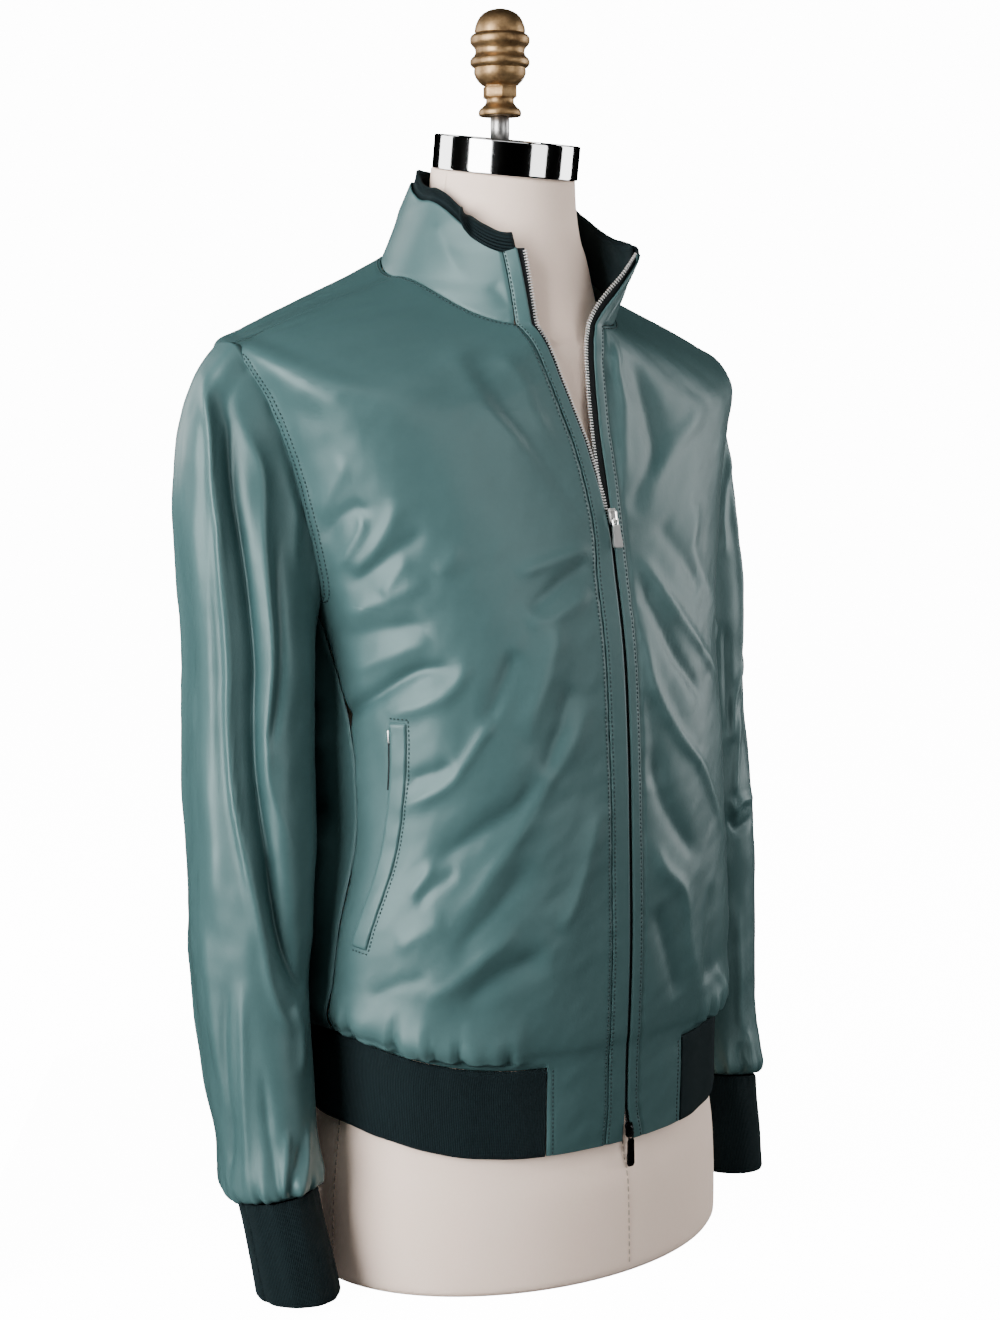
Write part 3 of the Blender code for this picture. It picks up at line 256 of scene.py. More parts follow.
BOTH_SLEEVES_FOLDS = (
    (0.008, -0.0045, (330, 0.62), (318, 0.54), (312, 0.44), (308, 0.34)),
    (0.007, 0.0034, (340, 0.60), (332, 0.50), (328, 0.40), (330, 0.30)),
    (0.008, 0.0034, (300, 0.60), (292, 0.50), (290, 0.40)),
    (0.009, -0.0036, (262, 0.58), (258, 0.48), (262, 0.38), (270, 0.30)),
    (0.006, -0.0034, (238, 0.335), (268, 0.318), (298, 0.330)),
    (0.006, 0.0030, (236, 0.318), (268, 0.300), (300, 0.312)),
    (0.006, -0.0030, (240, 0.285), (270, 0.272), (304, 0.286)),
    (0.007, 0.0028, (310, 0.28), (316, 0.20), (322, 0.12)),
    (0.007, -0.0028, (288, 0.25), (292, 0.18), (290, 0.11)),
    (0.008, 0.0026, (255, 0.24), (250, 0.17), (252, 0.11)),
    (0.008, 0.0022, (208, 0.52), (204, 0.42), (198, 0.33)),
    (0.008, -0.0014, (182, 0.50), (178, 0.40), (174, 0.30)),
)
# Where the leather is gathered into the ribs: angle in degrees, and length of the small fold in mm.
HEM_GATHERS = (
    (-174, 44), (-166, 30), (-159, 52), (-151, 26), (-146, 46), (-139, 34), (-132, 58), (-126, 30),
    (-121, 46),
    (-61, 40), (-56, 28), (-50, 48), (-43, 30), (-36, 42), (-28, 26), (-21, 50), (-13, 34), (-5, 44),
    (8, 32), (15, 52), (24, 36), (31, 46), (40, 28), (48, 54), (57, 36), (65, 46), (74, 30), (83, 50),
    (92, 34), (100, 46), (109, 28), (117, 52), (126, 36), (134, 46), (143, 30), (151, 48), (160, 34),
    (168, 46),
)
CUFF_GATHERS = (
    (2, 26), (16, 40), (31, 30), (44, 22), (57, 36), (70, 26), (84, 40), (99, 24), (113, 34), (128, 26),
    (144, 38), (160, 28), (176, 36), (194, 26), (210, 38), (228, 28), (246, 36), (263, 26), (280, 38),
    (297, 28), (314, 34), (332, 24), (347, 36),
)
# Dents of the collar, as the folds above, but with their height from the neck seam.
COLLAR_DENTS = (
    (0.006, -0.0012, (-124, 0.012), (-126, 0.024), (-121, 0.036)),
    (0.008, 0.0010, (-113, 0.006), (-114, 0.024), (-113, 0.044)),
    (0.007, -0.0012, (-140, 0.010), (-143, 0.020), (-147, 0.026)),
    (0.010, 0.0012, (-160, 0.018), (-168, 0.032), (-176, 0.044)),
    (0.010, -0.0010, (40, 0.010), (60, 0.030), (66, 0.044)),
    (0.010, 0.0010, (110, 0.012), (130, 0.030), (142, 0.042)),
    (0.010, -0.0010, (-40, 0.014), (-30, 0.030), (-22, 0.044)),
)


def smoothstep(t):
    """A soft step from 0 to 1."""
    t = np.clip(t, 0.0, 1.0)
    return t * t * (3.0 - 2.0 * t)


def along(table, at):
    """The table's columns at a fractional row number, on a smooth curve through its rows."""
    rows = np.array(table, float)
    at = np.clip(np.asarray(at, float), 0.0, len(rows) - 1.0)
    low = np.minimum(at.astype(int), len(rows) - 2)
    part = (at - low)[..., None]
    before, start = rows[np.maximum(low - 1, 0)], rows[low]
    end, after = rows[low + 1], rows[np.minimum(low + 2, len(rows) - 1)]
    leave, arrive = 0.5 * (end - before), 0.5 * (after - start)
    return (
        (2 * part**3 - 3 * part**2 + 1) * start
        + (part**3 - 2 * part**2 + part) * leave
        + (3 * part**2 - 2 * part**3) * end
        + (part**3 - part**2) * arrive
    )


def ring_point(angle, columns):
    """A point of a ring: angle 0 is the wearer's left side, -90 degrees the centre front."""
    z_side, z_front, z_back, half, y_side, y_front, y_back, square, reach, x_mid = np.moveaxis(columns, -1, 0)
    cos, sin = np.cos(angle), np.sin(angle)
    x = x_mid + half * np.sign(cos) * np.abs(cos) ** (2.0 / square)
    share = np.abs(sin) ** (2.0 / square)
    y = y_side + share * np.where(sin < 0, y_front - y_side, y_back - y_side)
    z = z_side + smoothstep(share / reach) * np.where(sin < 0, z_front - z_side, z_back - z_side)
    return np.stack([x, y, z], -1)


def body_plain(angle, ring):
    """The jacket's outer face without folds."""
    angle, ring = np.broadcast_arrays(np.asarray(angle, float), np.asarray(ring, float))
    return ring_point(angle, along(BODY_RINGS, ring))


def normal_of(surface, u, v, du=0.004, dv=0.02, low=None, high=None):
    """The outward unit normal of a surface that is given as a function."""
    v0 = v - dv if low is None else np.maximum(v - dv, low)
    v1 = v + dv if high is None else np.minimum(v + dv, high)
    made = np.cross(surface(u + du, v) - surface(u - du, v), surface(u, v1) - surface(u, v0))
    return made / np.linalg.norm(made, axis=-1, keepdims=True)


def body_normal(angle, ring):
    """The outward unit normal of the jacket without folds."""
    angle, ring = np.broadcast_arrays(np.asarray(angle, float), np.asarray(ring, float))
    return normal_of(body_plain, angle, ring, low=0.0, high=NECK)


def collar_plain(angle, share):
    """The standing collar: share 0 is the neck seam and 1 the leather's top edge."""
    angle, share = np.broadcast_arrays(np.asarray(angle, float), np.asarray(share, float))
    seam = ring_point(angle, along(BODY_RINGS, np.full(np.shape(angle), NECK)))
    top = ring_point(angle, np.broadcast_to(np.array(COLLAR_TOP), np.shape(angle) + (10,)))
    middle = 0.5 * (seam + top)
    middle[..., :2] *= 0.985
    near = np.stack([(1 - share) ** 2, 2 * share * (1 - share), share**2], 0)[..., None]
    made = near[0] * seam + near[1] * middle + near[2] * top
    degrees = np.degrees(angle)
    lean = smoothstep((degrees + 92.0) / 24.0) * smoothstep((-8.0 - degrees) / 50.0) * np.clip(share, 0, 1.3)
    return made + lean[..., None] * np.array(COLLAR_POINT_LEFT)


def collar(angle, share, out=0.0):
    """The standing collar moved outward by a distance."""
    angle, share = np.broadcast_arrays(np.asarray(angle, float), np.asarray(share, float))
    lift = np.asarray(out)[..., None]
    return collar_plain(angle, share) + normal_of(collar_plain, angle, share, dv=0.05) * lift


def angle_at(x, ring):
    """The angle on the front at which a ring reaches this x."""
    columns = along(BODY_RINGS, ring)
    off = (x - columns[..., 9]) / columns[..., 3]
    return -np.arccos(np.sign(off) * np.clip(np.abs(off), 0.0, 1.0) ** (columns[..., 7] / 2.0))


def front_height(ring):
    """Height of a ring at the centre front."""
    return along(BODY_RINGS, ring)[..., 1]


def edge_x(table, z, inset):
    """x of a front edge at a height, moved away from the zip by inset."""
    rows = np.array(table)
    side = -1.0 if rows[0, 1] < 0 else 1.0
    return np.interp(z, rows[:, 0], rows[:, 1]) + side * inset


def slim(z):
    """The share of its width that the right placket keeps at a height: it narrows on the open front."""
    return np.interp(z, (0.52, 0.60, 0.70, 0.7555), (1.0, 0.66, 0.56, 0.42))


def collar_angle(x, share):
    """The angle on the front at which the collar reaches this x."""
    half = (1 - share) * BODY_RINGS[-1][3] + share * COLLAR_TOP[3]
    return -np.arccos(np.clip(x / half, -1.0, 1.0))


def armhole_angle(ring, front):
    """Half the opening that the armhole leaves at this ring, on its front or back half."""
    columns = along(BODY_RINGS, ring)
    share = np.clip((ring - UNDERARM) / (SHOULDER - UNDERARM), 0.0, 1.0)
    round_off = np.clip(4.0 * share * (1.0 - share), 0.0, 1.0) ** (0.30 if front else 0.5)
    deep = (ARMHOLE_FRONT if front else ARMHOLE_BACK) * round_off
    depth = np.abs(columns[..., 5 if front else 6] - columns[..., 4])
    return np.arcsin(np.clip(deep / depth, 0.0, 0.95) ** (columns[..., 7] / 2.0))


def armhole_curve(turn):
    """The left armhole seam on the torso's face, from the shoulder point round by the front."""
    turn = turn % 360.0
    share = (1.0 + np.cos(np.radians(turn))) / 2.0
    ring = UNDERARM + (SHOULDER - UNDERARM) * share
    angle = np.where(turn <= 180.0, -armhole_angle(ring, True), armhole_angle(ring, False))
    return angle, ring


def sleeve_section(turn, columns):
    """One tilted oval section of the left sleeve."""
    z, x, y, half_x, half_y, tilt = columns
    across, ahead = half_x * np.cos(np.radians(turn)), half_y * np.sin(np.radians(turn))
    return np.stack([x + across, y - ahead, z - tilt * (across - ahead)], -1)


def sleeve_plain(turn, head, right):
    """Rows of a sleeve without folds, from the armhole down to the cuff."""
    angle, ring = armhole_curve(turn)
    seam, face = body_plain(angle, ring), body_normal(angle, ring)
    into = np.stack([np.ones(len(turn)), -0.25 * np.sin(np.radians(turn)), np.zeros(len(turn))], -1)
    leave = face * 0.9 + into * 0.5
    leave /= np.linalg.norm(leave, axis=-1, keepdims=True)
    cap = 0.5 * (1.0 + np.cos(np.radians(turn)))
    over = 0.0024 * smoothstep((cap - 0.90) / 0.09)
    start = seam + leave * (over - 0.0004)[:, None] + np.array([0.0, 0.0, 2.6]) * over[:, None]
    upper = sleeve_section(turn, SLEEVE_RINGS[0])
    drop = np.linalg.norm(upper - start, axis=-1)[:, None]
    first = np.stack([0.10 + head * cap, -0.10 * np.sin(np.radians(turn)), -1.0 + 0.10 * cap], -1)
    first /= np.linalg.norm(first, axis=-1, keepdims=True)
    one = start + first * drop * 0.36
    two = upper + np.array([0.0, 0.0, 0.40]) * drop
    rows = [(1 - t) ** 3 * start + 3 * t * (1 - t) ** 2 * one + 3 * t**2 * (1 - t) * two + t**3 * upper
            for t in np.concatenate([[0.0, 0.003, 0.007, 0.012, 0.018], np.linspace(0.026, 0.99, 74)])]
    rows.insert(0, start - leave * (0.0020 + over)[:, None])
    heights = np.array(SLEEVE_RINGS)[:, 0]
    wanted = np.concatenate([np.linspace(heights[0], 0.092, 138), np.linspace(0.0905, heights[-1], 12)])
    for at in np.interp(-wanted, -heights, np.arange(len(heights))):
        rows.append(sleeve_section(turn, along(SLEEVE_RINGS, np.array(at))))
    points = np.array(rows)
    if right:
        points[..., 0] *= -1.0
    else:
        z = points[..., 2]
        points[..., 1] -= SLEEVE_AHEAD_LEFT * smoothstep((z - 0.12) / 0.12) * smoothstep((0.60 - z) / 0.14)
    return points


# ---------------------------------------------------------------- folds, seams and unevenness

def folds_on(degrees, z, folds, radius):
    """How far a list of folds lifts each point of a surface, given by its angle and height."""
    lift = np.zeros(degrees.shape)
    for half, depth, *points in folds:
        line = along(points, np.linspace(0, len(points) - 1, 7 * (len(points) - 1) + 1))
        middle = 0.5 * (line[:, 0].min() + line[:, 0].max())
        line = line * (math.radians(radius), 1.0)
        across = np.radians((degrees - middle + 180.0) % 360.0 - 180.0 + middle) * radius
        reach = 2.6 * half
        near = ((across > line[:, 0].min() - reach) & (across < line[:, 0].max() + reach)
                & (z > line[:, 1].min() - reach) & (z < line[:, 1].max() + reach))
        spots = np.stack([across[near], z[near]], -1)
        start, step = line[:-1], np.diff(line, axis=0)
        t = np.clip(((spots[:, None] - start) * step).sum(-1) / (step**2).sum(-1), 0.0, 1.0)
        gap = np.linalg.norm(spots[:, None] - start - t[..., None] * step, axis=-1)
        best = gap.argmin(1)
        share = (best + t[np.arange(len(best)), best]) / len(step)
        ends = smoothstep(share / 0.25) * smoothstep((1.0 - share) / 0.25)
        wide = half * (1.25 - 0.25 * ends)
        off = gap.min(1) / wide
        lift[near] += depth * (0.62 * np.exp(-(off**2)) + 0.38 * np.exp(-((off / 0.52) ** 2))) * ends
    return lift


def uneven(u, v, seed, length, count=9):
    """Smooth random waves of about this length, between about -1 and 1."""
    dice = np.random.default_rng(seed)
    total = np.zeros(np.shape(u))
    for turn, phase, size in dice.uniform((0, 0, 0.7), (2 * math.pi, 2 * math.pi, 1.5), (count, 3)):
        total += np.sin((u * math.cos(turn) + v * math.sin(turn)) * 2 * math.pi / (length * size) + phase)
    return total / math.sqrt(count)


def gathers(degrees, above, places, depth, half):
    """Short upright folds where a panel is drawn in to a rib: places give the angle and the length in mm."""
    lift = np.zeros(degrees.shape)
    for k, (place, tall) in enumerate(places):
        lean = (k % 3 - 1) * 0.05
        off = (degrees - place + 180.0) % 360.0 - 180.0 - lean * above * 1000.0
        fade = smoothstep(above / 0.004) * smoothstep(1.0 - above * 1000.0 / tall)
        lift += depth * (0.7 + 0.3 * math.sin(5.1 * k)) * fade * np.exp(-((off / half) ** 2))
    return lift


def blouse(degrees, above, places, pinch, half, puff):
    """How the leather stands out over a rib that it is gathered into, with a sharp pinch at each place."""
    pinched = np.zeros(degrees.shape)
    for k, (place, tall) in enumerate(places):
        off = (degrees - place - 3.0 + 180.0) % 360.0 - 180.0 - (k % 4 - 1.5) * 60.0 * above
        fade = smoothstep(1.0 - above * 1300.0 / tall) * (0.55 + 0.45 * math.sin(3.7 * k + 1.0))
        pinched = np.maximum(pinched, fade * np.exp(-((off / half) ** 2)))
    puff = puff * (0.85 + 0.4 * np.sin(degrees * 0.23 + 1.0) * np.sin(degrees * 0.091))
    bulge = puff * smoothstep(above / 0.006) * smoothstep((0.045 - above) / 0.038)
    return bulge * (1.0 - 0.8 * pinched) - pinch * pinched * smoothstep(above / 0.003)


def body_lift(angle, z, ring, folds):
    """Folds, gathers over the rib and slight unevenness of the torso's leather."""
    degrees = np.degrees(angle)
    u = angle * 0.165
    lift = folds_on(degrees, z, folds, 0.165)
    rib = np.interp(np.abs(np.sin(angle)), (0.0, 1.0), (0.186, 0.167))
    off_tab = smoothstep((np.abs(degrees + 90.0) - 25.0) / 7.0)
    lift += gathers(degrees, z - rib, HEM_GATHERS, 0.0026, 1.7)
    lift += blouse(degrees, z - rib, HEM_GATHERS, 0.0036, 1.0, 0.0056) * off_tab
    lift += 0.00035 * uneven(u, z, 4, 0.050) + 0.00012 * uneven(u, z, 9, 0.017)
    near_zip = smoothstep((np.abs(degrees + 90.0) - 1.0) / 7.0)
    return lift * (0.25 + 0.75 * near_zip) * smoothstep((NECK - ring) / 1.2)


def runs(points, axis):
    """Distance of each point of a grid from its first and from its last row or column."""
    steps = np.linalg.norm(np.diff(points, axis=axis), axis=-1)
    total = np.cumsum(steps, axis=axis)
    first = np.concatenate([np.zeros_like(np.take(total, [0], axis)), total], axis=axis)
    return first, np.take(first, [-1], axis) - first


def seam_dip(distance, depth=0.0009, half=0.0016):
    """How far the leather dips into a seam."""
    return -depth * np.exp(-((distance / half) ** 2))


def groove(distance, at, depth=0.00035, half=0.0007):
    """The groove that a row of stitches pulls into the leather."""
    return -depth * np.exp(-(((distance - at) / half) ** 2))


def armhole_edge(distance, ring, wide=0.0112, height=0.0008):
    """A panel's edge: turned under at the armhole, as a low raised band, and a plain seam elsewhere."""
    band = height * (smoothstep((wide - distance) / 0.0016) - 0.9 * np.exp(-((distance / 0.0007) ** 2)))
    band += groove(distance, ARMHOLE_ROWS[0]) + groove(distance, ARMHOLE_ROWS[1])
    at_arm = smoothstep((ring - UNDERARM + 0.1) / 0.3) * smoothstep((SHOULDER + 0.05 - ring) / 0.30)
    plain = np.where(ring > SHOULDER, seam_dip(distance, 0.0003, 0.0008), seam_dip(distance))
    return (at_arm * band + (1.0 - at_arm) * plain) * (ring > RIB_TOP)


def pucker(distance, run, seed, depth=0.00022):
    """Small gathered waves beside a seam."""
    return depth * uneven(run, 0.0 * run, seed, 0.009, 5) * np.exp(-((distance / 0.006) ** 2))


def grid_normals(points, wrap=False, side=1.0):
    """Outward unit normals of a grid of points whose rows run up and columns run round."""
    across = np.roll(points, -1, 1) - np.roll(points, 1, 1) if wrap else np.gradient(points, axis=1)
    made = np.cross(across, np.gradient(points, axis=0)) * side
    return made / np.maximum(np.linalg.norm(made, axis=-1, keepdims=True), 1e-12)


BACK_LOOSE = 0.016             # how far the back blouses beside each sleeve
BORDER = np.array([0.0, 0.5, 1.1, 1.8, 2.6, 3.5, 4.6, 6.0, 7.6, 9.6, 12.0]) / 1000.0


def clustered(width, middle, low=True, high=True):
    """Shares from 0 to 1 across a width, close together near the ends that carry a seam."""
    first = BORDER / width if low else np.zeros(1)
    last = 1.0 - BORDER[::-1] / width if high else np.ones(1)
    return np.concatenate([first, np.linspace(first[-1], last[0], middle + 2)[1:-1], last])


# ---------------------------------------------------------------- pieces


def new_piece(name, points, faces, finish, slot=None, uv=None, smooth=True):
    """A mesh of this name from points and corner indices, riding on the jacket's body."""
    mesh = bpy.data.meshes.new(name)
    mesh.from_pydata(np.asarray(points, float).reshape(-1, 3).tolist(), [],
                     [list(map(int, f)) for f in faces])
    if uv is not None:
        layer = mesh.uv_layers.new(name="metres")
        corners = np.empty(len(mesh.loops), np.int32)
        mesh.loops.foreach_get("vertex_index", corners)
        layer.data.foreach_set("uv", np.asarray(uv, np.float32).reshape(-1, 2)[corners].ravel())
    mesh.polygons.foreach_set("use_smooth", [smooth] * len(mesh.polygons))
    mesh.materials.append(finish)
    mesh.update()
    piece = bpy.data.objects.new(name, mesh)
    bpy.context.scene.collection.objects.link(piece)
    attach(piece, "jacket_on_form")
    return piece


def grid_faces(rows, columns, wrap_columns=False, wrap_rows=False, flip=False, keep=None):
    """The four-sided faces of a grid of points."""
    i, j = np.meshgrid(np.arange(rows if wrap_rows else rows - 1),
                       np.arange(columns if wrap_columns else columns - 1), indexing="ij")
    if keep is not None:
        chosen = keep(i, j)
        i, j = i[chosen], j[chosen]
    i, j = i.ravel(), j.ravel()
    up, right = (i + 1) % rows, (j + 1) % columns
    corners = np.stack([i * columns + j, i * columns + right, up * columns + right, up * columns + j], -1)
    return corners[:, ::-1] if flip else corners


def cloth(name, points, finish, slot, thickness=WALL, wrap=False, flip=False, keep=None, fold_shade_and_wear=None):
    """A thin wall of cloth under a grid of points, with its run as UV map and its folds as attribute for
    painted shade and wear.
    """
    rows, columns = points.shape[:2]
    faces = grid_faces(rows, columns, wrap, flip=flip, keep=keep)
    u = runs(points, 1)[0]
    if not wrap:
        u = u - u[:, columns // 2][:, None]
    v = np.broadcast_to(runs(points, 0)[0].mean(1, keepdims=True), u.shape)
    used = np.unique(faces)
    renumber = np.zeros(rows * columns, int)
    renumber[used] = np.arange(len(used))
    uv = np.stack([u, v], -1).reshape(-1, 2)[used]
    piece = new_piece(name, points.reshape(-1, 3)[used], renumber[faces], finish, slot=slot, uv=uv)
    if fold_shade_and_wear is not None:
        # The fold attribute makes the leather darker in fold troughs (painted shade) and lighter on ridges
        # (wear and painted highlight).
        layer = piece.data.attributes.new("fold", "FLOAT", "POINT")
        layer.data.foreach_set("value", np.asarray(fold_shade_and_wear, np.float32).ravel()[used])
    wall = piece.modifiers.new("wall", "SOLIDIFY")
    wall.thickness = thickness
    wall.offset = -1.0
    return piece


def stitched(name, lines, finish, pitch=0.0032, long=0.0019, thick=0.00044, slot="leather"):
    """A row of short stitches along each line; a line is its points and the face's normals there."""
    ring = np.linspace(0, 2 * math.pi, 6, endpoint=False)
    profile = ((-0.50, 0.35), (-0.38, 0.95), (0.0, 1.05), (0.38, 0.95), (0.50, 0.35))
    template = np.array([[x, r * math.cos(a), r * math.sin(a)] for x, r in profile for a in ring])
    side_faces = grid_faces(len(profile), 6, wrap_columns=True).tolist()
    caps = [list(range(6))[::-1], list(range(24, 30))]
    points, faces = [], []
    for path, normals in lines:
        length = np.concatenate([[0.0], np.cumsum(np.linalg.norm(np.diff(path, axis=0), axis=1))])
        places = np.arange(0.5 * pitch, length[-1], pitch)
        at = np.stack([np.interp(places, length, path[:, k]) for k in range(3)], -1)
        back, ahead = (np.stack([np.interp(places + s, length, path[:, k]) for k in range(3)], -1)
                       for s in (-0.001, 0.001))
        run = ahead - back
        run /= np.linalg.norm(run, axis=-1, keepdims=True)
        up = np.stack([np.interp(places, length, normals[:, k]) for k in range(3)], -1)
        up -= run * (up * run).sum(-1, keepdims=True)
        up /= np.linalg.norm(up, axis=-1, keepdims=True)
        aside = np.cross(up, run)
        for place, x, y, z in zip(at, run, aside, up):
            base = len(points) * len(template)
            points.append(place + z * 0.00015 + template[:, :1] * x * long
                          + template[:, 1:2] * y * thick * 1.25 + template[:, 2:] * z * thick)
            faces += [[base + c for c in f] for f in side_faces + caps]
    return new_piece(name, np.concatenate(points), faces, finish, slot=slot)


def line_at(points, normals, distance, wanted):
    """The line on a grid where the distance across each row reaches a value."""
    made, faces = [], []
    for row, normal, far in zip(points, normals, distance):
        order = np.argsort(far)
        made.append([np.interp(wanted, far[order], row[order, k]) for k in range(3)])
        faces.append([np.interp(wanted, far[order], normal[order, k]) for k in range(3)])
    return np.array(made), np.array(faces)


def ring_at(z_side):
    """The ring number at a height at the side."""
    return np.interp(z_side, np.array(BODY_RINGS)[:, 0], np.arange(len(BODY_RINGS)))


def panel_rings(bottom):
    """Rings of a torso panel: close together at the rib, round the armhole and at the neck seam."""
    z = np.array(BODY_RINGS)[:, 0]
    tab = ring_at(np.concatenate([z[0] + 0.0013 + BORDER[:6], np.linspace(0.130, 0.1855, 20)]))
    over_rib = 1.008 + BORDER[:9] / 0.020
    middle = ring_at(np.linspace(np.interp(over_rib[-1] + 0.1, range(15), z), 0.492, 112))
    arm = UNDERARM + (SHOULDER - UNDERARM) * (1.0 - np.cos(np.linspace(0.0, math.pi, 84))) / 2.0
    under = np.linspace(middle[-1] + 0.03, UNDERARM - 0.03, 5)
    top = np.concatenate([10.0 + np.array([0.05, 0.11, 0.18, 0.27]), np.linspace(10.4, 13.55, 24),
                          13.985 - BORDER[:8][::-1] / 0.018])
    rings = np.concatenate([over_rib, middle, under, arm, top])
    return np.concatenate([tab, rings]) if bottom < RIB_TOP else rings


def make_front(name, right, leather):
    """A front panel with its hem tab and pocket; it gives the lines of its stitching."""
    edge, placket, tab, folds = (EDGE_RIGHT, PLACKET_RIGHT, TAB_RIGHT, RIGHT_FRONT_FOLDS) if right else (
        EDGE_LEFT, PLACKET_LEFT, TAB_LEFT, LEFT_FRONT_FOLDS)
    rings = panel_rings(0.0)
    strip = placket * (slim(front_height(rings)) if right else 1.0)
    seam = angle_at(edge_x(edge, front_height(rings), strip + SEAM), rings)
    arm = armhole_angle(rings, True) + SEAM / 0.15
    outer = (arm - math.pi) if right else -arm
    at_tab = angle_at(np.full(len(rings), (-tab if right else tab)), rings)
    spread = smoothstep((rings - 3.0) / 3.0)
    limit = (1 - spread) * at_tab + spread * (seam + (outer - seam) * 0.30)
    inner_share, outer_share = clustered(0.053, 10), clustered(0.150, 44, low=False)
    near = seam[:, None] + (limit - seam)[:, None] * inner_share
    near[:, 0] = angle_at(edge_x(edge, front_height(rings), strip - 0.0030), rings)
    far = limit[:, None] + (outer - limit)[:, None] * outer_share
    angles = np.concatenate([near, far[:, 1:]], axis=1)
    plain = body_plain(angles, rings[:, None])
    ring = np.broadcast_to(rings[:, None], angles.shape)
    folded = body_lift(angles, plain[..., 2], ring, folds)
    inner, outside = runs(plain, 1)
    first_row = int(np.sum(rings < RIB_TOP))
    bottom = runs(plain[first_row:], 0)[0]
    top = runs(plain, 0)[1]
    length = runs(plain, 0)[0]
    columns = len(inner_share) - 1
    inner = np.abs(inner - inner[:, 1:2])
    lift = folded + seam_dip(inner, 0.0007) + pucker(inner, length, 21, 0.00014)
    lift[:, 0] -= 0.0022
    lift += armhole_edge(outside, ring) + np.where(ring > RIB_TOP, pucker(outside, length, 23, 0.00012), 0.0)
    lift += seam_dip(top, 0.0003, 0.0009) + groove(top, NECK_ROW)
    to_tab = np.abs(runs(plain[:, :columns + 1], 1)[1])
    lift[:first_row, :columns + 1] += (seam_dip(to_tab, 0.0005) + groove(to_tab, TAB_ROW))[:first_row]
    far_side = np.arange(plain.shape[1]) >= columns
    lift[first_row:] += np.where(far_side, seam_dip(bottom, 0.0016, 0.0022), 0.0)
    normals = grid_normals(plain, side=-1.0 if right else 1.0)
    points = plain + normals * lift[..., None]
    cloth(name, points, leather, "leather", flip=right, fold_shade_and_wear=folded * FOLD_SHADE_AND_WEAR,
          keep=lambda i, j: (i >= first_row) | (j < columns))
    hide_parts("front_right" if right else "front_left")
    arm_rows = (rings > UNDERARM - 0.02) & (rings < SHOULDER + 0.02)
    lines = [line_at(points[arm_rows], normals[arm_rows], outside[arm_rows], row) for row in ARMHOLE_ROWS]
    tab_rows, tab_columns = slice(2, first_row), slice(columns + 1)
    lines.append(line_at(points[tab_rows, tab_columns], normals[tab_rows, tab_columns], to_tab[tab_rows],
                         TAB_ROW))
    upper = slice(len(rings) - 30, None)
    lines.append(line_at(*(np.swapaxes(grid[upper], 0, 1) for grid in (points, normals, top)), NECK_ROW))
    if right:
        lines.append(line_at(points[2:-2], normals[2:-2], inner[2:-2], EDGE_ROW))
    return lines + make_welt(right, face_reader(points, normals, angles, rings), leather)


def face_reader(points, normals, angles, rings):
    """A function that gives the point and the normal of a front at an angle and a ring."""
    order = slice(None, None, -1 if angles[0, 0] > angles[0, -1] else 1)

    def read(angle, ring):
        at = np.interp(ring, rings, np.arange(len(rings)))
        low = min(int(at), len(rings) - 2)
        return [sum(share * np.array([np.interp(angle, angles[row, order], grid[row, order, k])
                                      for k in range(3)])
                    for row, share in ((low, low + 1 - at), (low + 1, at - low)))
                for grid in (points, normals)]
    return read


def make_welt(right, read, leather):
    """The raised strip of a slanting zip pocket; it gives the lines of the stitching round it."""
    def place(share, degrees):
        ring = WELT_TOP[1] + share * (WELT_BOTTOM[1] - WELT_TOP[1])
        angle = WELT_TOP[0] + share * (WELT_BOTTOM[0] - WELT_TOP[0]) + degrees
        return read(math.radians(angle if right else -180.0 - angle), ring)

    name = "coat_right_welt" if right else "coat_left_welt"
    across = np.array([-3.0, -2.96, -2.88, -2.7, -2.3, -1.6, -0.8, 0.0,
                       0.8, 1.6, 2.1, 2.4, 2.6, 2.8, 2.9, 3.0])
    rise = np.interp(across, (-3.0, -2.9, -2.3, 0.0, 2.4, 2.8, 3.0),
                     (0.0012, 0.0019, 0.0024, 0.0022, 0.0018, 0.0011, -0.0004))
    shares = np.concatenate([[0.0, 0.004, 0.010, 0.018], np.linspace(0.03, 0.97, 80),
                             [0.982, 0.990, 0.996, 1.0]])
    rows = []
    for share in shares:
        end = smoothstep(min(share, 1.0 - share) / 0.014)
        wave = 0.00015 * math.sin(share * 41.0 + 1.0)
        row = [place(share, degrees) for degrees in across]
        rows.append([p + n * (rise[j] * end - 0.0004 * (1 - end) + wave) for j, (p, n) in enumerate(row)])
    grid = np.array(rows)
    # A fixed fold value makes the whole strip lighter, as on a fold ridge: wear and painted highlight.
    cloth(name, grid, leather, "leather", flip=right, fold_shade_and_wear=np.full(grid.shape[:2], 0.6))
    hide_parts("welt_right" if right else "welt_left")
    lines = [[place(share, 3.7) for share in np.linspace(-0.012, 1.01, 90)],
             [place(-0.012, degrees) for degrees in np.linspace(-3.2, 3.6, 24)],
             [place(1.012, degrees) for degrees in np.linspace(-2.8, 3.6, 20)]]
    slit = np.linspace(0.05, 0.30, 24)
    lips = np.array([[p + n * 0.0009 for p, n in (place(share, -3.9) for share in slit)],
                     [place(share, -3.0)[0] for share in slit]])
    cloth("pocket_tape_right" if right else "pocket_tape_left", np.swapaxes(lips, 0, 1), tape, "zip_tape",
          thickness=0.0004, flip=right)
    tip, up = place(0.065, -3.5)
    ahead = place(0.03, -3.5)[0] - place(0.10, -3.5)[0]
    make_tip("pocket_tip_right" if right else "pocket_tip_left", tip + up * 0.0012,
             ahead / np.linalg.norm(ahead), up)
    return [tuple(np.array(part) for part in zip(*line)) for line in lines]


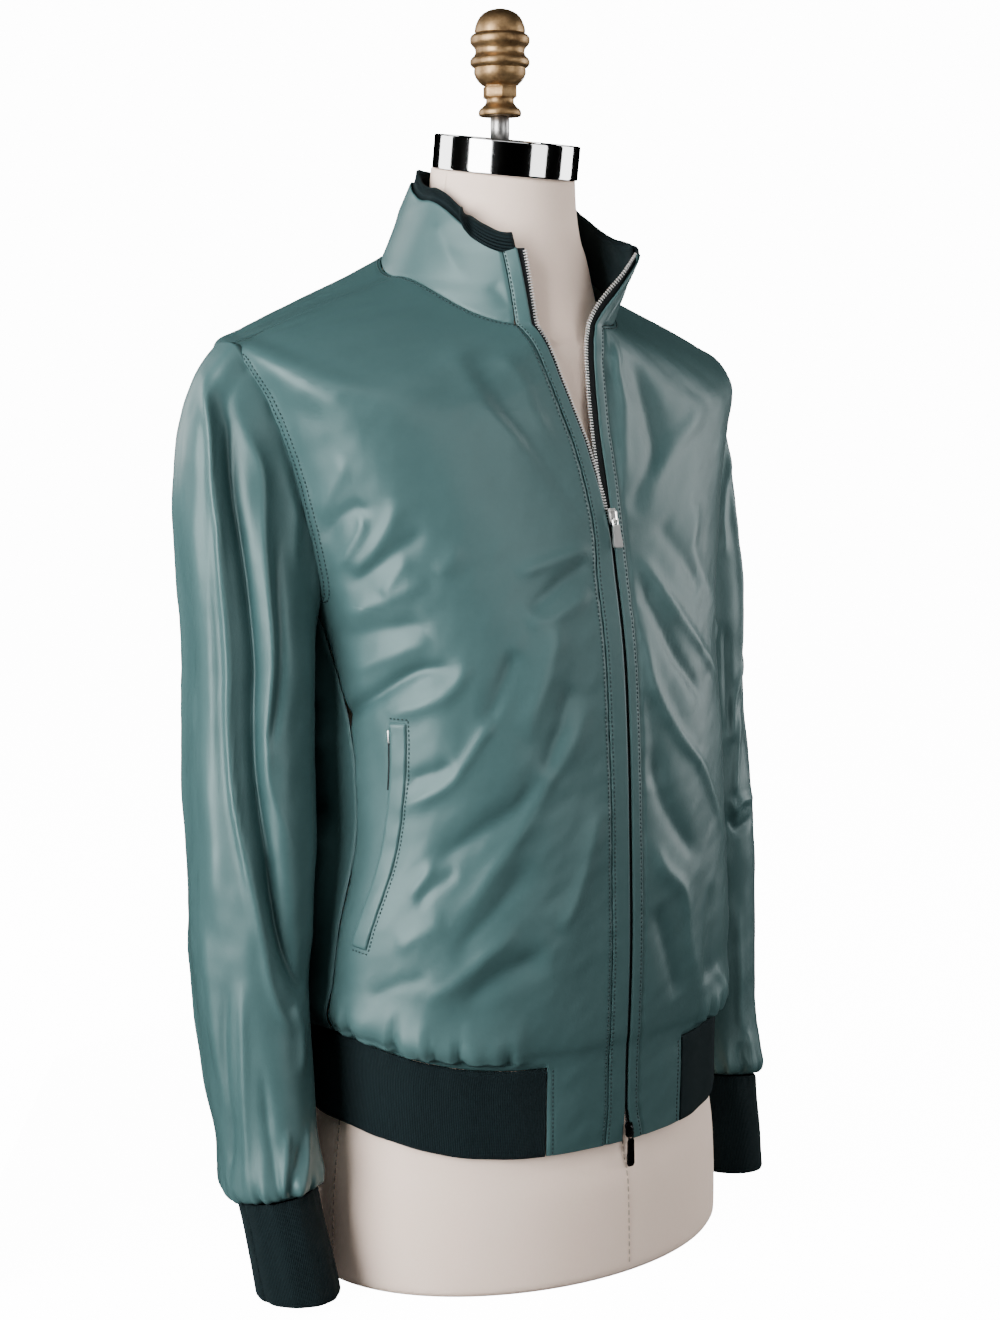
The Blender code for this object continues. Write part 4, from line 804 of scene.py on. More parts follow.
def make_tip(name, centre, ahead, up):
    """The small metal end of the pocket's zip slider, a rounded bar."""
    aside = np.cross(ahead, up)
    turn = np.linspace(0, 2 * math.pi, 16, endpoint=False)
    round_it = aside * 0.0011 * np.cos(turn)[:, None] + up * 0.0008 * np.sin(turn)[:, None]
    rings = [centre + 0.6 * ahead * x + round_it * r
             for x, r in ((-0.0095, 0.30), (-0.0090, 0.75), (-0.0075, 0.95), (0.0, 0.90), (0.0050, 1.0),
                          (0.0068, 0.80), (0.0074, 0.30))]
    lathe(name, rings, nickel, "nickel")


def make_back(leather):
    """The back, one panel, standing loose beside each sleeve; it gives the lines of its stitching."""
    rings = panel_rings(RIB_TOP)
    arm = armhole_angle(rings, False) + SEAM / 0.15
    share = clustered(0.50, 112)
    angles = arm[:, None] * (1 - share) + (math.pi - arm)[:, None] * share
    plain = body_plain(angles, rings[:, None])
    folded = body_lift(angles, plain[..., 2], np.broadcast_to(rings[:, None], angles.shape), BACK_FOLDS)
    one, other = runs(plain, 1)
    bottom, top = runs(plain, 0)
    lift = folded + seam_dip(bottom, 0.0016, 0.0022) + seam_dip(top, 0.0003, 0.0009) + groove(top, NECK_ROW)
    ring = np.broadcast_to(rings[:, None], angles.shape)
    for k, side in enumerate((one, other)):
        lift += armhole_edge(side, ring) + pucker(side, bottom, 31 + k, 0.00012)
    degrees = np.degrees(angles)
    loose = smoothstep((plain[..., 2] - 0.21) / 0.10) * smoothstep((0.53 - plain[..., 2]) / 0.12)
    at_seams = smoothstep(one / 0.03), smoothstep(other / 0.03)
    for place in (32.0, 148.0):
        lift += BACK_LOOSE * loose * np.exp(-(((degrees - place) / 25.0) ** 2)) * at_seams[0] * at_seams[1]
    normals = grid_normals(plain)
    points = plain + normals * lift[..., None]
    cloth("coat_back", points, leather, "leather", fold_shade_and_wear=folded * FOLD_SHADE_AND_WEAR)
    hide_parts("back")
    rows = (rings > UNDERARM - 0.02) & (rings < SHOULDER + 0.02)
    lines = [line_at(points[rows], normals[rows], side[rows], row)
             for side in (one, other) for row in ARMHOLE_ROWS]
    upper = slice(len(rings) - 30, None)
    return lines + [line_at(*(np.swapaxes(grid[upper], 0, 1) for grid in (points, normals, top)), NECK_ROW)]


def edge_strip(edge, insets, out, folds, width=lambda z: 1.0, shift=0.0, collar_steps=30):
    """Rows of a strip along a front edge, hem to collar top, with the distances of its columns from the edge.
    width scales them with height, and shift moves them away from the edge where the front stands open."""
    insets = np.asarray(insets, float)
    z = np.array(BODY_RINGS)[:, 0]
    rings = ring_at(np.concatenate([z[0] + 0.0013 + BORDER[:5], np.linspace(0.128, 0.7275, 238)]))
    rings = np.concatenate([rings[rings < 13.6], [13.7]])
    level = front_height(rings)[:, None]
    x = edge_x(edge, level, insets * width(level) - shift * smoothstep((level - 0.530) / 0.05))
    angles = angle_at(x, np.broadcast_to(rings[:, None], x.shape))
    ring = np.broadcast_to(rings[:, None], x.shape)
    plain, normal = body_plain(angles, ring), body_normal(angles, ring)
    lower = plain + normal * (body_lift(angles, plain[..., 2], ring, folds) + out)[..., None]
    rows = list(lower)
    shares = np.linspace(0.0, 1.0, collar_steps)
    for share in shares:
        height = BODY_RINGS[-1][1] + share * (COLLAR_TOP[1] - BODY_RINGS[-1][1])
        across = insets * width(height) - shift
        at = collar_angle(edge_x(edge, height, across), share)
        slack = np.full(len(insets), out * (1.0 + COLLAR_SLACK * share))
        row = collar(at, np.full(len(insets), share), out=slack)
        if share == 0.0:
            below = angle_at(edge_x(edge, height, across), np.full(len(insets), NECK))
            under = body_plain(below, np.full(len(insets), NECK))
            row = 0.5 * (row + under + body_normal(below, np.full(len(insets), NECK)) * out)
        rows.append(row)
    return np.array(rows)


def make_placket(name, right, leather):
    """The strip along a front edge, from the hem to the top of the collar."""
    edge, wide = (EDGE_RIGHT, PLACKET_RIGHT) if right else (EDGE_LEFT, PLACKET_LEFT)
    folds = RIGHT_FRONT_FOLDS if right else LEFT_FRONT_FOLDS
    at_seam = wide - SEAM - np.array([0.0032, 0.0026, 0.0020, 0.0015, 0.0010, 0.0005, 0.0])
    insets = np.concatenate([[0.0, 0.0004, 0.0009, 0.0015, 0.0022, 0.0030],
                             np.linspace(0.0042, wide - 0.0042, 7), at_seam])[::-1]
    plain = edge_strip(edge, insets, 0.0, folds, width=slim if right else lambda z: 1.0)
    lift = 0.0003 - 0.0007 * np.exp(-((insets / 0.0007) ** 2)) + groove(wide - insets, PLACKET_ROW)
    lift = lift + seam_dip(wide - insets, 0.0008, 0.0012)
    run = runs(plain, 0)[0]
    lift = lift + pucker(wide - insets[None] + 0.0 * run, run, 41, 0.00014)
    side = 1.0 if right else -1.0
    normals = grid_normals(plain, side=side)
    points = plain + normals * lift[..., None]
    cloth(name, points, leather, "leather", flip=not right, fold_shade_and_wear=np.zeros(lift.shape))
    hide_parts("placket_right" if right else "placket_left")
    distance = np.broadcast_to(wide - insets, lift.shape)
    rows = slice(2, -1) if right else slice(2, 245)
    return [line_at(points[rows], normals[rows], distance[rows], PLACKET_ROW)]


def collar_span(share, insets):
    """Angles round the back between the two front edges, at a height of the collar."""
    z = BODY_RINGS[-1][1] + share * (COLLAR_TOP[1] - BODY_RINGS[-1][1])
    left = collar_angle(edge_x(EDGE_LEFT, z, insets[1]), share)
    right = collar_angle(edge_x(EDGE_RIGHT, z, insets[0]), share)
    return left, right + 2.0 * math.pi


def make_collar(leather):
    """The outer stand collar, between the two plackets."""
    across = clustered(0.36, 130)
    tall = 0.056
    shares = clustered(tall, 12)
    rows = []
    for share in shares:
        ease = SEAM + 0.0008 * (1.0 - smoothstep(np.array(share / 0.06)))
        z = BODY_RINGS[-1][1] + share * (COLLAR_TOP[1] - BODY_RINGS[-1][1])
        start, end = collar_span(share, (PLACKET_RIGHT * slim(z) + ease, PLACKET_LEFT + ease))
        rows.append(collar_plain(start + (end - start) * across, np.full(len(across), max(share, 0.006))))
    plain = np.array(rows)
    normals = grid_normals(plain)
    start, end = collar_span(0.5, (PLACKET_RIGHT, PLACKET_LEFT))
    degrees = np.broadcast_to(np.degrees(start + (end - start) * across), plain.shape[:2])
    height = np.broadcast_to((shares * tall)[:, None], plain.shape[:2])
    dents = folds_on(degrees, height, COLLAR_DENTS, 0.075)
    bottom, top = runs(plain, 0)
    one, other = runs(plain, 1)
    lift = dents + seam_dip(bottom, 0.0004, 0.0011) - 0.0005 * np.exp(-((top / 0.0008) ** 2))
    lift += pucker(bottom, one, 51, 0.00008) + 0.00018 * uneven(one, bottom, 52, 0.03)
    lift += seam_dip(one, 0.0007) + seam_dip(other, 0.0007)
    points = plain + normals * lift[..., None]
    down = points[3] - points[0]
    under = points[0] - down * (0.0035 / np.linalg.norm(down, axis=-1))[:, None]
    points = np.concatenate([(under - normals[0] * 0.0020)[None], points])
    dents = np.concatenate([dents[:1], dents])
    # The dents' heights make the collar darker in each dent (painted shade) and lighter on its ridge (wear
    # and painted highlight).
    cloth("coat_collar", points, leather, "leather", fold_shade_and_wear=dents * 400.0)
    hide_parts("collar_leather")


def make_collar_rib(knit):
    """The inner knit collar, a doubled band; its end at the right front curls out over the leather."""
    columns = 200
    behind = LEATHER + KNIT_BEHIND + 0.5 * KNIT
    rows = []
    for share in np.linspace(0.25, 1.0, 15):
        start, end = collar_span(share, (0.0012, KNIT_INSET * 0.5))
        angles = np.linspace(start, end, columns)
        extra = 0.0014 * smoothstep(np.linspace(-9.0, 1.0, columns))
        face = collar_plain(angles, np.full(columns, share))
        normal = normal_of(collar_plain, angles, np.full(columns, share), dv=0.05)
        rows.append(face - normal * (behind + extra[:, None]))
    rim, along_run = rows[-1], np.linspace(0.0, 1.0, columns)
    up = rows[-1] - rows[-2]
    up /= np.linalg.norm(up, axis=-1, keepdims=True)
    at_right = smoothstep((along_run - 0.893) / 0.030)
    at_left = smoothstep((0.036 - along_run) / 0.028)
    tall = KNIT_STANDS + 0.0180 * at_right + 0.0120 * at_left
    most = 3.05 * at_right + 3.0 * at_left + 0.15
    upright = 0.0065 * at_right + 0.0040 * at_left
    bend = 0.0050 + 0.0065 * np.maximum(at_right, at_left)
    spot = rim
    for step in range(30):
        turned = (most * smoothstep(((step + 0.5) / 30 * tall - upright) / bend))[:, None]
        spot = spot + (up * np.cos(turned) + normal * np.sin(turned)) * (tall / 30)[:, None]
        rows.append(spot)
    middle = np.array(rows)
    out = grid_normals(middle)
    wave = 0.0004 * uneven(runs(middle, 1)[0], runs(middle, 0)[0], 55, 0.03)
    middle = middle + out * wave[..., None]
    outer, inner = middle + out * 0.5 * KNIT, middle - out * 0.5 * KNIT
    ahead = middle[-1] - middle[-2]
    ahead /= np.linalg.norm(ahead, axis=-1, keepdims=True)
    rolled = [middle[-1] + 0.5 * KNIT * (out[-1] * math.cos(a) + ahead * math.sin(a))
              for a in np.linspace(0, math.pi, 9)[1:-1]]
    points = np.concatenate([outer, rolled, inner[::-1]])
    count = len(points)
    faces = grid_faces(count, columns, wrap_rows=True).tolist()
    faces += [[i * columns for i in range(count)], [i * columns + columns - 1 for i in range(count)][::-1]]
    uv = np.stack([runs(points, 1)[0], np.broadcast_to(runs(points, 0)[0].mean(1, keepdims=True),
                                                       points.shape[:2])], -1)
    new_piece("collar_rib", points, faces, knit, slot="knit", uv=uv)
    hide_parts("collar_knit")


def make_hem(knit):
    """The doubled rib band, from tab to tab round the back."""
    rows = np.concatenate([BORDER[:4] / 0.065, np.linspace(0.05, 0.93, 18), 0.997 - BORDER[:4][::-1] / 0.065])
    gap = 3.0 * SEAM / 0.14
    left = angle_at(np.full(len(rows), TAB_LEFT), rows) + 1.4 * gap
    right = angle_at(np.full(len(rows), -TAB_RIGHT), rows) + 2.0 * math.pi - gap
    share = clustered(0.80, 420)
    angles = left[:, None] * (1 - share) + right[:, None] * share
    plain = body_plain(angles, rows[:, None])
    normals = grid_normals(plain)
    bottom, top = runs(plain, 0)
    degrees = np.degrees(angles)
    lift = 0.0006 * uneven(angles * 0.16, plain[..., 2] * 0.3, 61, 0.045)
    lift = lift - 0.0010 * np.exp(-((bottom / 0.0012) ** 2))
    for place, _ in HEM_GATHERS:
        off = (degrees - place + 180.0) % 360.0 - 180.0
        lift += 0.0006 * np.exp(-((off / 2.2) ** 2)) * smoothstep(1.0 - top / 0.022)
    lift -= 0.0006 * np.exp(-((top / 0.002) ** 2))
    cloth("hem_rib", plain + normals * lift[..., None], knit, "knit", thickness=KNIT)
    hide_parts("hem_knit")


def make_sleeve(name, right, leather):
    """A set-in sleeve, with its folds and its gathers over the cuff."""
    turn = np.arange(0.0, 360.0, 2.5)
    plain = sleeve_plain(turn, SLEEVE_HEAD_RIGHT if right else SLEEVE_HEAD_LEFT, right)
    side = -1.0 if right else 1.0
    normals = grid_normals(plain, wrap=True, side=side)
    degrees = np.broadcast_to(turn, plain.shape[:2])
    z = plain[..., 2]
    folds = (RIGHT_SLEEVE_FOLDS if right else LEFT_SLEEVE_FOLDS) + BOTH_SLEEVES_FOLDS
    head, bottom = runs(plain, 0)
    folded = folds_on(degrees, z, folds, 0.047)
    folded += gathers(degrees, bottom, CUFF_GATHERS, 0.0018, 4.0)
    folded += blouse(degrees, bottom, CUFF_GATHERS, 0.0020, 3.2, 0.0026)
    u = np.radians(degrees) * 0.047
    folded += 0.00035 * uneven(u, z, 71 + right, 0.05) + 0.00012 * uneven(u, z, 75, 0.016)
    lift = folded * smoothstep(head / 0.02)
    run = np.broadcast_to(np.radians(turn) * 0.07, head.shape)
    lift += 0.0007 * np.exp(-(((head - 0.0015) / 0.0016) ** 2)) + pucker(head, run, 77, 0.0003)
    lift += seam_dip(bottom, 0.0014, 0.0018)
    under = (degrees - 205.0) * math.radians(1.0) * 0.047
    lift += np.where(head > 0.01, seam_dip(np.abs(under), 0.0007), 0.0)
    points = plain + normals * lift[..., None]
    cloth(name, points, leather, "leather", wrap=True, flip=right, fold_shade_and_wear=folded * FOLD_SHADE_AND_WEAR)
    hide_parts("sleeve_right" if right else "sleeve_left")


def make_cuff(name, right, knit):
    """A doubled rib cuff."""
    turn = np.arange(0.0, 360.0, 2.0)
    a = np.radians(turn)
    rows = []
    for share in np.concatenate([BORDER[:5] / 0.074, np.linspace(0.07, 0.93, 20),
                                 1.0 - BORDER[:4][::-1] / 0.074]):
        z, x, y, half_x, half_y, tilt = (1 - share) * np.array(CUFF_TOP) + share * np.array(CUFF_BOTTOM)
        across, ahead = half_x * np.cos(a), half_y * np.sin(a)
        rows.append(np.stack([x + across, y - ahead, z - tilt * (across - ahead)], -1))
    plain = np.array(rows)
    if right:
        plain[..., 0] *= -1.0
    normals = grid_normals(plain, wrap=True, side=-1.0 if right else 1.0)
    top, bottom = runs(plain, 0)
    degrees = np.broadcast_to(turn, top.shape)
    lift = 0.0005 * uneven(np.radians(degrees) * 0.03, top * 0.4, 81 + right, 0.02)
    for place, _ in CUFF_GATHERS:
        off = (degrees - place + 180.0) % 360.0 - 180.0
        lift = lift + 0.0005 * np.exp(-((off / 4.5) ** 2)) * smoothstep(1.0 - top / 0.02)
    lift = lift - 0.0010 * np.exp(-((bottom / 0.0012) ** 2)) - 0.0005 * np.exp(-((top / 0.0015) ** 2))
    cloth(name, plain + normals * lift[..., None], knit, "knit", thickness=KNIT, wrap=True, flip=right)
    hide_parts("cuff_right" if right else "cuff_left")


def tooth_block(wide, long, thick):
    """A zip tooth with chamfered ends: x across the tape, y along it, z out."""
    made = []
    for z, shrink in ((-0.5, 0.78), (-0.28, 1.0), (0.28, 1.0), (0.5, 0.78)):
        for x, y in ((-1, -0.75), (-1, 0.75), (0.55, 1), (1, 0.55), (1, -0.55), (0.55, -1)):
            made.append((x * 0.5 * wide * shrink, y * 0.5 * long * shrink, z * thick))
    return np.array(made), grid_faces(4, 6, wrap_columns=True).tolist() + [[5, 4, 3, 2, 1, 0],
                                                                          [18, 19, 20, 21, 22, 23]]


def make_zip(side_name, right, tape, metal):
    """One side of the front zip: its tape, and its separate teeth."""
    edge = EDGE_RIGHT if right else EDGE_LEFT
    folds = RIGHT_FRONT_FOLDS if right else LEFT_FRONT_FOLDS
    insets = np.linspace(0.0090, -0.0002, 8)
    out = -(WALL + ZIP_BEHIND + 0.0003)
    shows = 0.0034 if right else 0.0062
    band = edge_strip(edge, insets, out, folds, shift=shows)
    name = "zip_tape_" + side_name
    cloth(name, band, tape, "zip_tape", thickness=0.0008, flip=not right)
    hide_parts("zip_" + side_name)
    line = edge_strip(edge, np.array([0.0030, -0.0001, -0.0016]), out - 0.0004, folds, shift=shows)
    inner, middle, outer = line[:, 0], line[:, 1], line[:, 2]
    length = np.concatenate([[0.0], np.cumsum(np.linalg.norm(np.diff(middle, axis=0), axis=1))])
    places = np.arange(0.004 + (0.00105 if right else 0.0), length[-1] - 0.001, 0.0021)
    block, corners = tooth_block(0.0030, 0.0012, 0.0020)
    points, faces = [], []
    normals = grid_normals(line, side=1.0 if right else -1.0)[:, 1]
    for place in places:
        spot, aside, facing = (np.array([np.interp(place, length, v[:, k]) for k in range(3)])
                               for v in (middle, outer - inner, normals))
        ahead = np.array([np.interp(place + 0.001, length, middle[:, k]) for k in range(3)]) - spot
        ahead /= np.linalg.norm(ahead)
        aside -= ahead * (aside @ ahead)
        aside /= np.linalg.norm(aside)
        facing = np.cross(aside, ahead) * (1.0 if right else -1.0)
        closed = 1.0 - smoothstep(np.array((spot[2] - 0.548) / 0.02)) * (1.0 if spot[2] > 0.3 else 0.0)
        base = len(points) * len(block)
        centre = spot - facing * 0.0022 * closed
        points.append(centre + block[:, :1] * aside + block[:, 1:2] * ahead + block[:, 2:] * facing)
        faces += [[base + c for c in f] for f in corners]
    new_piece("zip_teeth_" + side_name, np.concatenate(points), faces, metal, slot="nickel", smooth=False)


# ---------------------------------------------------------------- the form

def lathe(name, rings, finish, slot, cap_low=True, cap_high=True, **more):
    """A piece through a stack of closed rings, shut at its ends."""
    points = np.array(rings)
    rows, columns = points.shape[:2]
    faces = grid_faces(rows, columns, wrap_columns=True).tolist()
    if cap_low:
        faces.append(list(range(columns))[::-1])
    if cap_high:
        faces.append([(rows - 1) * columns + j for j in range(columns)])
    return new_piece(name, points, faces, finish, slot=slot, **more)


def level_ring(turn, half, y, deep, z):
    """A level oval of points: half its width, the y of its middle, half its depth, and its height."""
    return np.stack([half * np.cos(turn), y + deep * np.sin(turn), np.full(turn.shape, z)], -1)


def make_form(linen, thread):
    """The cloth cover of the limbless form, from its flat base to the cap, and its two stitched seams."""
    turn = np.radians(np.arange(-180.0, 180.0, 2.0))
    rings = []
    for z, half, y, front, back in FORM_BASE:
        deep = np.where(np.sin(turn) < 0, front, back)
        rings.append(level_ring(turn, half, y, deep, z))
    ease = np.array(FORM_EASE)
    for ring in list(range(14)) + [13.9]:
        inward = np.interp(ring, ease[:, 0], ease[:, 1])
        front = smoothstep((-np.sin(turn) - 0.45) / 0.35) * smoothstep((ring - 8.0) / 2.0)
        face = body_plain(turn, np.full(turn.shape, ring))
        rings.append(face - body_normal(turn, float(ring)) * (inward + FORM_EASE_FRONT * front)[:, None])
    for z, half, y, deep in FORM_NECK:
        ring = level_ring(turn, half, y, deep, z)
        ring[:, 2] += (ring[:, 1] - y) * math.tan(CAP_TILT)
        rings.append(ring)
    coarse = np.array(rings)
    steps = np.concatenate([[0.0, 0.35, 0.7], np.linspace(1.0, len(coarse) - 1.0, 5 * (len(coarse) - 2) + 1)])
    fine = along(coarse.reshape(len(coarse), -1), steps).reshape(len(steps), len(turn), 3)
    fine[:3, :, 2] = np.array([0.0, 0.0012, 0.0021])[:, None]
    up = np.broadcast_to(runs(fine, 0)[0].mean(1, keepdims=True), fine.shape[:2])
    lathe("form_cover", fine, linen, "linen", uv=np.stack([runs(fine, 1)[0], up], -1))
    facing, lines = grid_normals(fine, wrap=True), []
    for column in (45, 0):
        lines.append((fine[4:30, column] + facing[4:30, column] * 0.0001, facing[4:30, column]))
    stitched("form_stitching", lines, thread, pitch=0.0060, long=0.0042, thick=0.00045, slot="linen")
    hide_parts("form_torso")


def tilted(x, y, z):
    """A point of the neck cap, leaned over as the cap is."""
    cos, sin = math.cos(CAP_TILT), math.sin(CAP_TILT)
    turned = [x, y * cos - z * sin, y * sin + z * cos]
    return np.stack([middle + part for middle, part in zip(CAP_CENTRE, turned)], -1)


def make_cap(chrome, steel):
    """The tilted neck cap: a polished band, and the sunk plate that closes it."""
    turn = np.linspace(0, 2 * math.pi, 128, endpoint=False)

    def ovals(profile):
        return [tilted(CAP_HALF[0] * s * np.cos(turn), CAP_HALF[1] * s * np.sin(turn), z + 0.0 * turn)
                for s, z in profile]

    top, plate = CAP_HEIGHT, CAP_HEIGHT - 0.0009
    band = ((0.985, 0.0), (1.006, 0.0), (1.012, 0.0006), (1.012, 0.0018), (1.012, top - 0.0016),
            (1.010, top - 0.0006), (1.004, top), (0.955, top), (0.950, top - 0.0004),
            (0.948, top - 0.0012), (0.948, top - 0.0030))
    lathe("neck_band", ovals(band), chrome, "chrome", cap_high=False)
    disc = ((0.9475, top - 0.0030), (0.9475, top - 0.0013), (0.942, plate), (0.60, plate), (0.20, plate),
            (0.02, plate))
    lathe("neck_plate", ovals(disc), steel, "steel")
    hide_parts("neck_cap")


def make_knob(brass, steel):
    """The turned knob with its six-sided nut, and the post below it."""
    turn = np.linspace(0, 2 * math.pi, 96, endpoint=False)
    beads = ((0.0002, 0.9354), (0.0040, 0.93515), (0.0075, 0.9343), (0.0105, 0.9330), (0.0130, 0.9315),
             (0.0152, 0.9292), (0.0168, 0.9266), (0.0180, 0.9238), (0.0188, 0.9210), (0.0190, 0.9184),
             (0.0187, 0.9176),
             (0.0190, 0.9171), (0.0205, 0.9163), (0.0217, 0.9152), (0.0223, 0.9138), (0.0224, 0.9122),
             (0.0222, 0.9104), (0.0213, 0.9088), (0.0198, 0.9074), (0.0188, 0.9058), (0.0184, 0.9040),
             (0.0187, 0.9022), (0.0196, 0.9006), (0.0212, 0.8992), (0.0222, 0.8977), (0.0224, 0.8960),
             (0.0221, 0.8943), (0.0210, 0.8930), (0.0197, 0.8922), (0.0192, 0.8916), (0.0195, 0.8904),
             (0.0195, 0.8880), (0.0184, 0.8852), (0.0167, 0.8826), (0.0148, 0.8806), (0.0134, 0.8794),
             (0.0118, 0.8789))
    rings = [level_ring(turn, r, POST_Y, r, z) for r, z in beads]
    six = 0.0116 / np.cos(turn % math.radians(60.0) - math.radians(30.0))
    for share, z in ((0.95, 0.8788), (1.0, 0.8782), (1.0, 0.8706), (0.95, 0.8700)):
        rings.append(level_ring(turn, share * six, POST_Y, share * six, z))
    foot = ((0.0105, 0.8694), (0.0104, 0.8680), (0.0106, 0.8666), (0.0113, 0.8652), (0.0128, 0.8636),
            (0.0146, 0.8622), (0.0158, 0.8606), (0.0161, 0.8592), (0.0160, 0.8574), (0.0154, 0.8567),
            (0.0140, 0.8566))
    rings += [level_ring(turn, r, POST_Y, r, z) for r, z in foot]
    lathe("turned_knob", rings[::-1], brass, "brass")
    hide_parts("finial")
    low = CAP_CENTRE[2] + CAP_HEIGHT * math.cos(CAP_TILT) - 0.0008
    column = []
    for share, r in ((0.0, POST_RADIUS), (0.5, POST_RADIUS), (0.98, POST_RADIUS), (1.0, POST_RADIUS * 0.95)):
        x, y = r * np.cos(turn), POST_Y + r * np.sin(turn)
        base = low + (y - CAP_CENTRE[1] + CAP_HEIGHT * math.sin(CAP_TILT)) * math.tan(CAP_TILT)
        column.append(np.stack([x, y, base + share * (POST_TOP - base)], -1))
    lathe("neck_post", column, steel, "steel")
    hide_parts("post")


# ---------------------------------------------------------------- finishes

class Wire:
    """A socket of a finish's nodes; sums and products of wires add the Math nodes that work them out."""

    def __init__(self, tree, socket):
        self.tree, self.socket = tree, socket

    def node(self, kind, settings=None, sockets=None, out=0):
        """A node of this type: its settings are set first, then the values or wires of its sockets."""
        made = self.tree.nodes.new("ShaderNode" + kind)
        for key, value in (settings or {}).items():
            if key == "stops":
                ramp = made.color_ramp.elements
                while len(ramp) < len(value):
                    ramp.new(1.0)
                for stop, (place, colour) in zip(ramp, value):
                    stop.position = place
                    stop.color = (*colour, 1.0)
            else:
                setattr(made, key, value)
        for key, value in (sockets or {}).items():
            if isinstance(value, Wire):
                self.tree.links.new(value.socket, made.inputs[key])
            else:
                made.inputs[key].default_value = value
        return Wire(self.tree, made.outputs[out])

    def math(self, operation, *values):
        return self.node("Math", {"operation": operation}, dict(enumerate(values)))

    def __add__(self, other):
        return self.math("ADD", self, other)

    def __sub__(self, other):
        return self.math("SUBTRACT", self, other)

    def __rsub__(self, other):
        return self.math("SUBTRACT", other, self)

    def __mul__(self, other):
        return self.math("MULTIPLY", self, other)

    __radd__, __rmul__ = __add__, __mul__

    def clamped(self, low=0.0, high=1.0):
        return self.node("Clamp", None, {"Value": self, "Min": low, "Max": high})

    def blend(self, first, second):
        """A colour from the first to the second by this value from 0 to 1."""
        first, second = ((*c, 1.0) if isinstance(c, tuple) else c for c in (first, second))
        return self.node("Mix", {"data_type": "RGBA"}, {0: self, 6: first, 7: second}, out=2)


class Finish:
    """A material with one Principled shader, and the places and textures that its wires start from."""

    def __init__(self, name, **sockets):
        self.material = bpy.data.materials.new(name)
        self.material.use_nodes = True
        self.tree = self.material.node_tree
        self.shader = self.tree.nodes["Principled BSDF"]
        self.start = Wire(self.tree, None)
        self.set(**sockets)

    def set(self, **sockets):
        for name, value in sockets.items():
            socket = self.shader.inputs[name.replace("_", " ")]
            if isinstance(value, Wire):
                self.tree.links.new(value.socket, socket)
            else:
                colour = isinstance(value, tuple) and len(value) == 3
                socket.default_value = (*value, 1.0) if colour else value
        return self

    def place(self):
        return self.start.node("TexCoord", out="Object")

    def metres(self):
        return self.start.node("UVMap", {"uv_map": "metres"})

    def noise(self, scale, detail=3.0, rough=0.55, where=None, twist=0.0):
        return self.start.node("TexNoise", None, {"Vector": where or self.place(), "Scale": scale,
                                                  "Detail": detail, "Roughness": rough, "Distortion": twist})

    def bump(self, *layers):
        """Bump from pairs of a height wire and its depth in metres."""
        normal = None
        for height, depth in layers:
            sockets = {"Height": height, "Distance": depth, "Strength": 1.0}
            if normal is not None:
                sockets["Normal"] = normal
            normal = self.start.node("Bump", None, sockets)
        return self.set(Normal=normal)


def leather_finish(name="leather"):
    """Smooth drum-dyed leather: fine pebble grain, faint mottling, painted shade in fold troughs, wear and
    painted highlight on fold ridges.
    """
    made = Finish(name, Specular_IOR_Level=0.50, Specular_Tint=(0.72, 0.92, 0.92, 1.0), Coat_Roughness=0.34,
                  Coat_IOR=1.4)
    # The fold attribute sets the tone: darker in fold troughs as painted shade, lighter on ridges as wear and
    # painted highlight.
    fold = made.start.node("Attribute", {"attribute_name": "fold"}, out=2)
    cloud = made.noise(9.0, 4.0, 0.6)
    fine = made.noise(260.0, 3.0, 0.6)
    tone = (cloud * 0.36 + fine * 0.12 + 0.33 + fold * 0.13).clamped()
    # The dark end is set low so that deep fold troughs take painted shade.
    colour = tone.blend((0.010, 0.036, 0.038), (0.062, 0.122, 0.123))
    pebble = made.start.node("TexVoronoi", {"feature": "DISTANCE_TO_EDGE"},
                             {"Vector": made.place(), "Scale": 900.0})
    wrinkle = made.noise(120.0, 5.0, 0.62, twist=0.6)
    pores = made.noise(1700.0, 2.0, 0.5)
    made.set(Base_Color=colour, Roughness=(0.36 + cloud * 0.09 + fine * 0.05).clamped(0.2, 0.8),
             Coat_Weight=(0.02 + cloud * 0.06).clamped())
    made.bump((pebble, 0.00004), (wrinkle, 0.00010), (pores, 0.00002))
    return made.material


def knit_finish(name="knit"):
    """Fine rib knit: upright ribs about 1.3 mm apart, each a chain of small loops."""
    made = Finish(name, Specular_IOR_Level=0.18, Sheen_Weight=0.04, Sheen_Roughness=0.45,
                  Sheen_Tint=(0.35, 0.55, 0.58, 1.0))
    spot = made.start.node("SeparateXYZ", None, {0: made.metres()}, out=0)
    height = Wire(made.tree, spot.socket.node.outputs[1])
    rib = spot.math("SINE", spot * (2 * math.pi / 0.0013))
    loops = spot.math("SINE", height * (2 * math.pi / 0.0011) + rib * 1.2)
    fuzz = made.noise(700.0, 3.0, 0.7)
    patch = made.noise(30.0, 3.0)
    tone = (rib * 0.30 + loops * 0.12 + fuzz * 0.35 + patch * 0.3 + 0.02).clamped()
    made.set(Base_Color=tone.blend((0.0013, 0.0050, 0.0062), (0.0048, 0.0165, 0.0195)),
             Roughness=(0.82 + fuzz * 0.14).clamped())
    made.bump((rib, 0.00022), (loops, 0.00008), (fuzz, 0.00010))
    return made.material


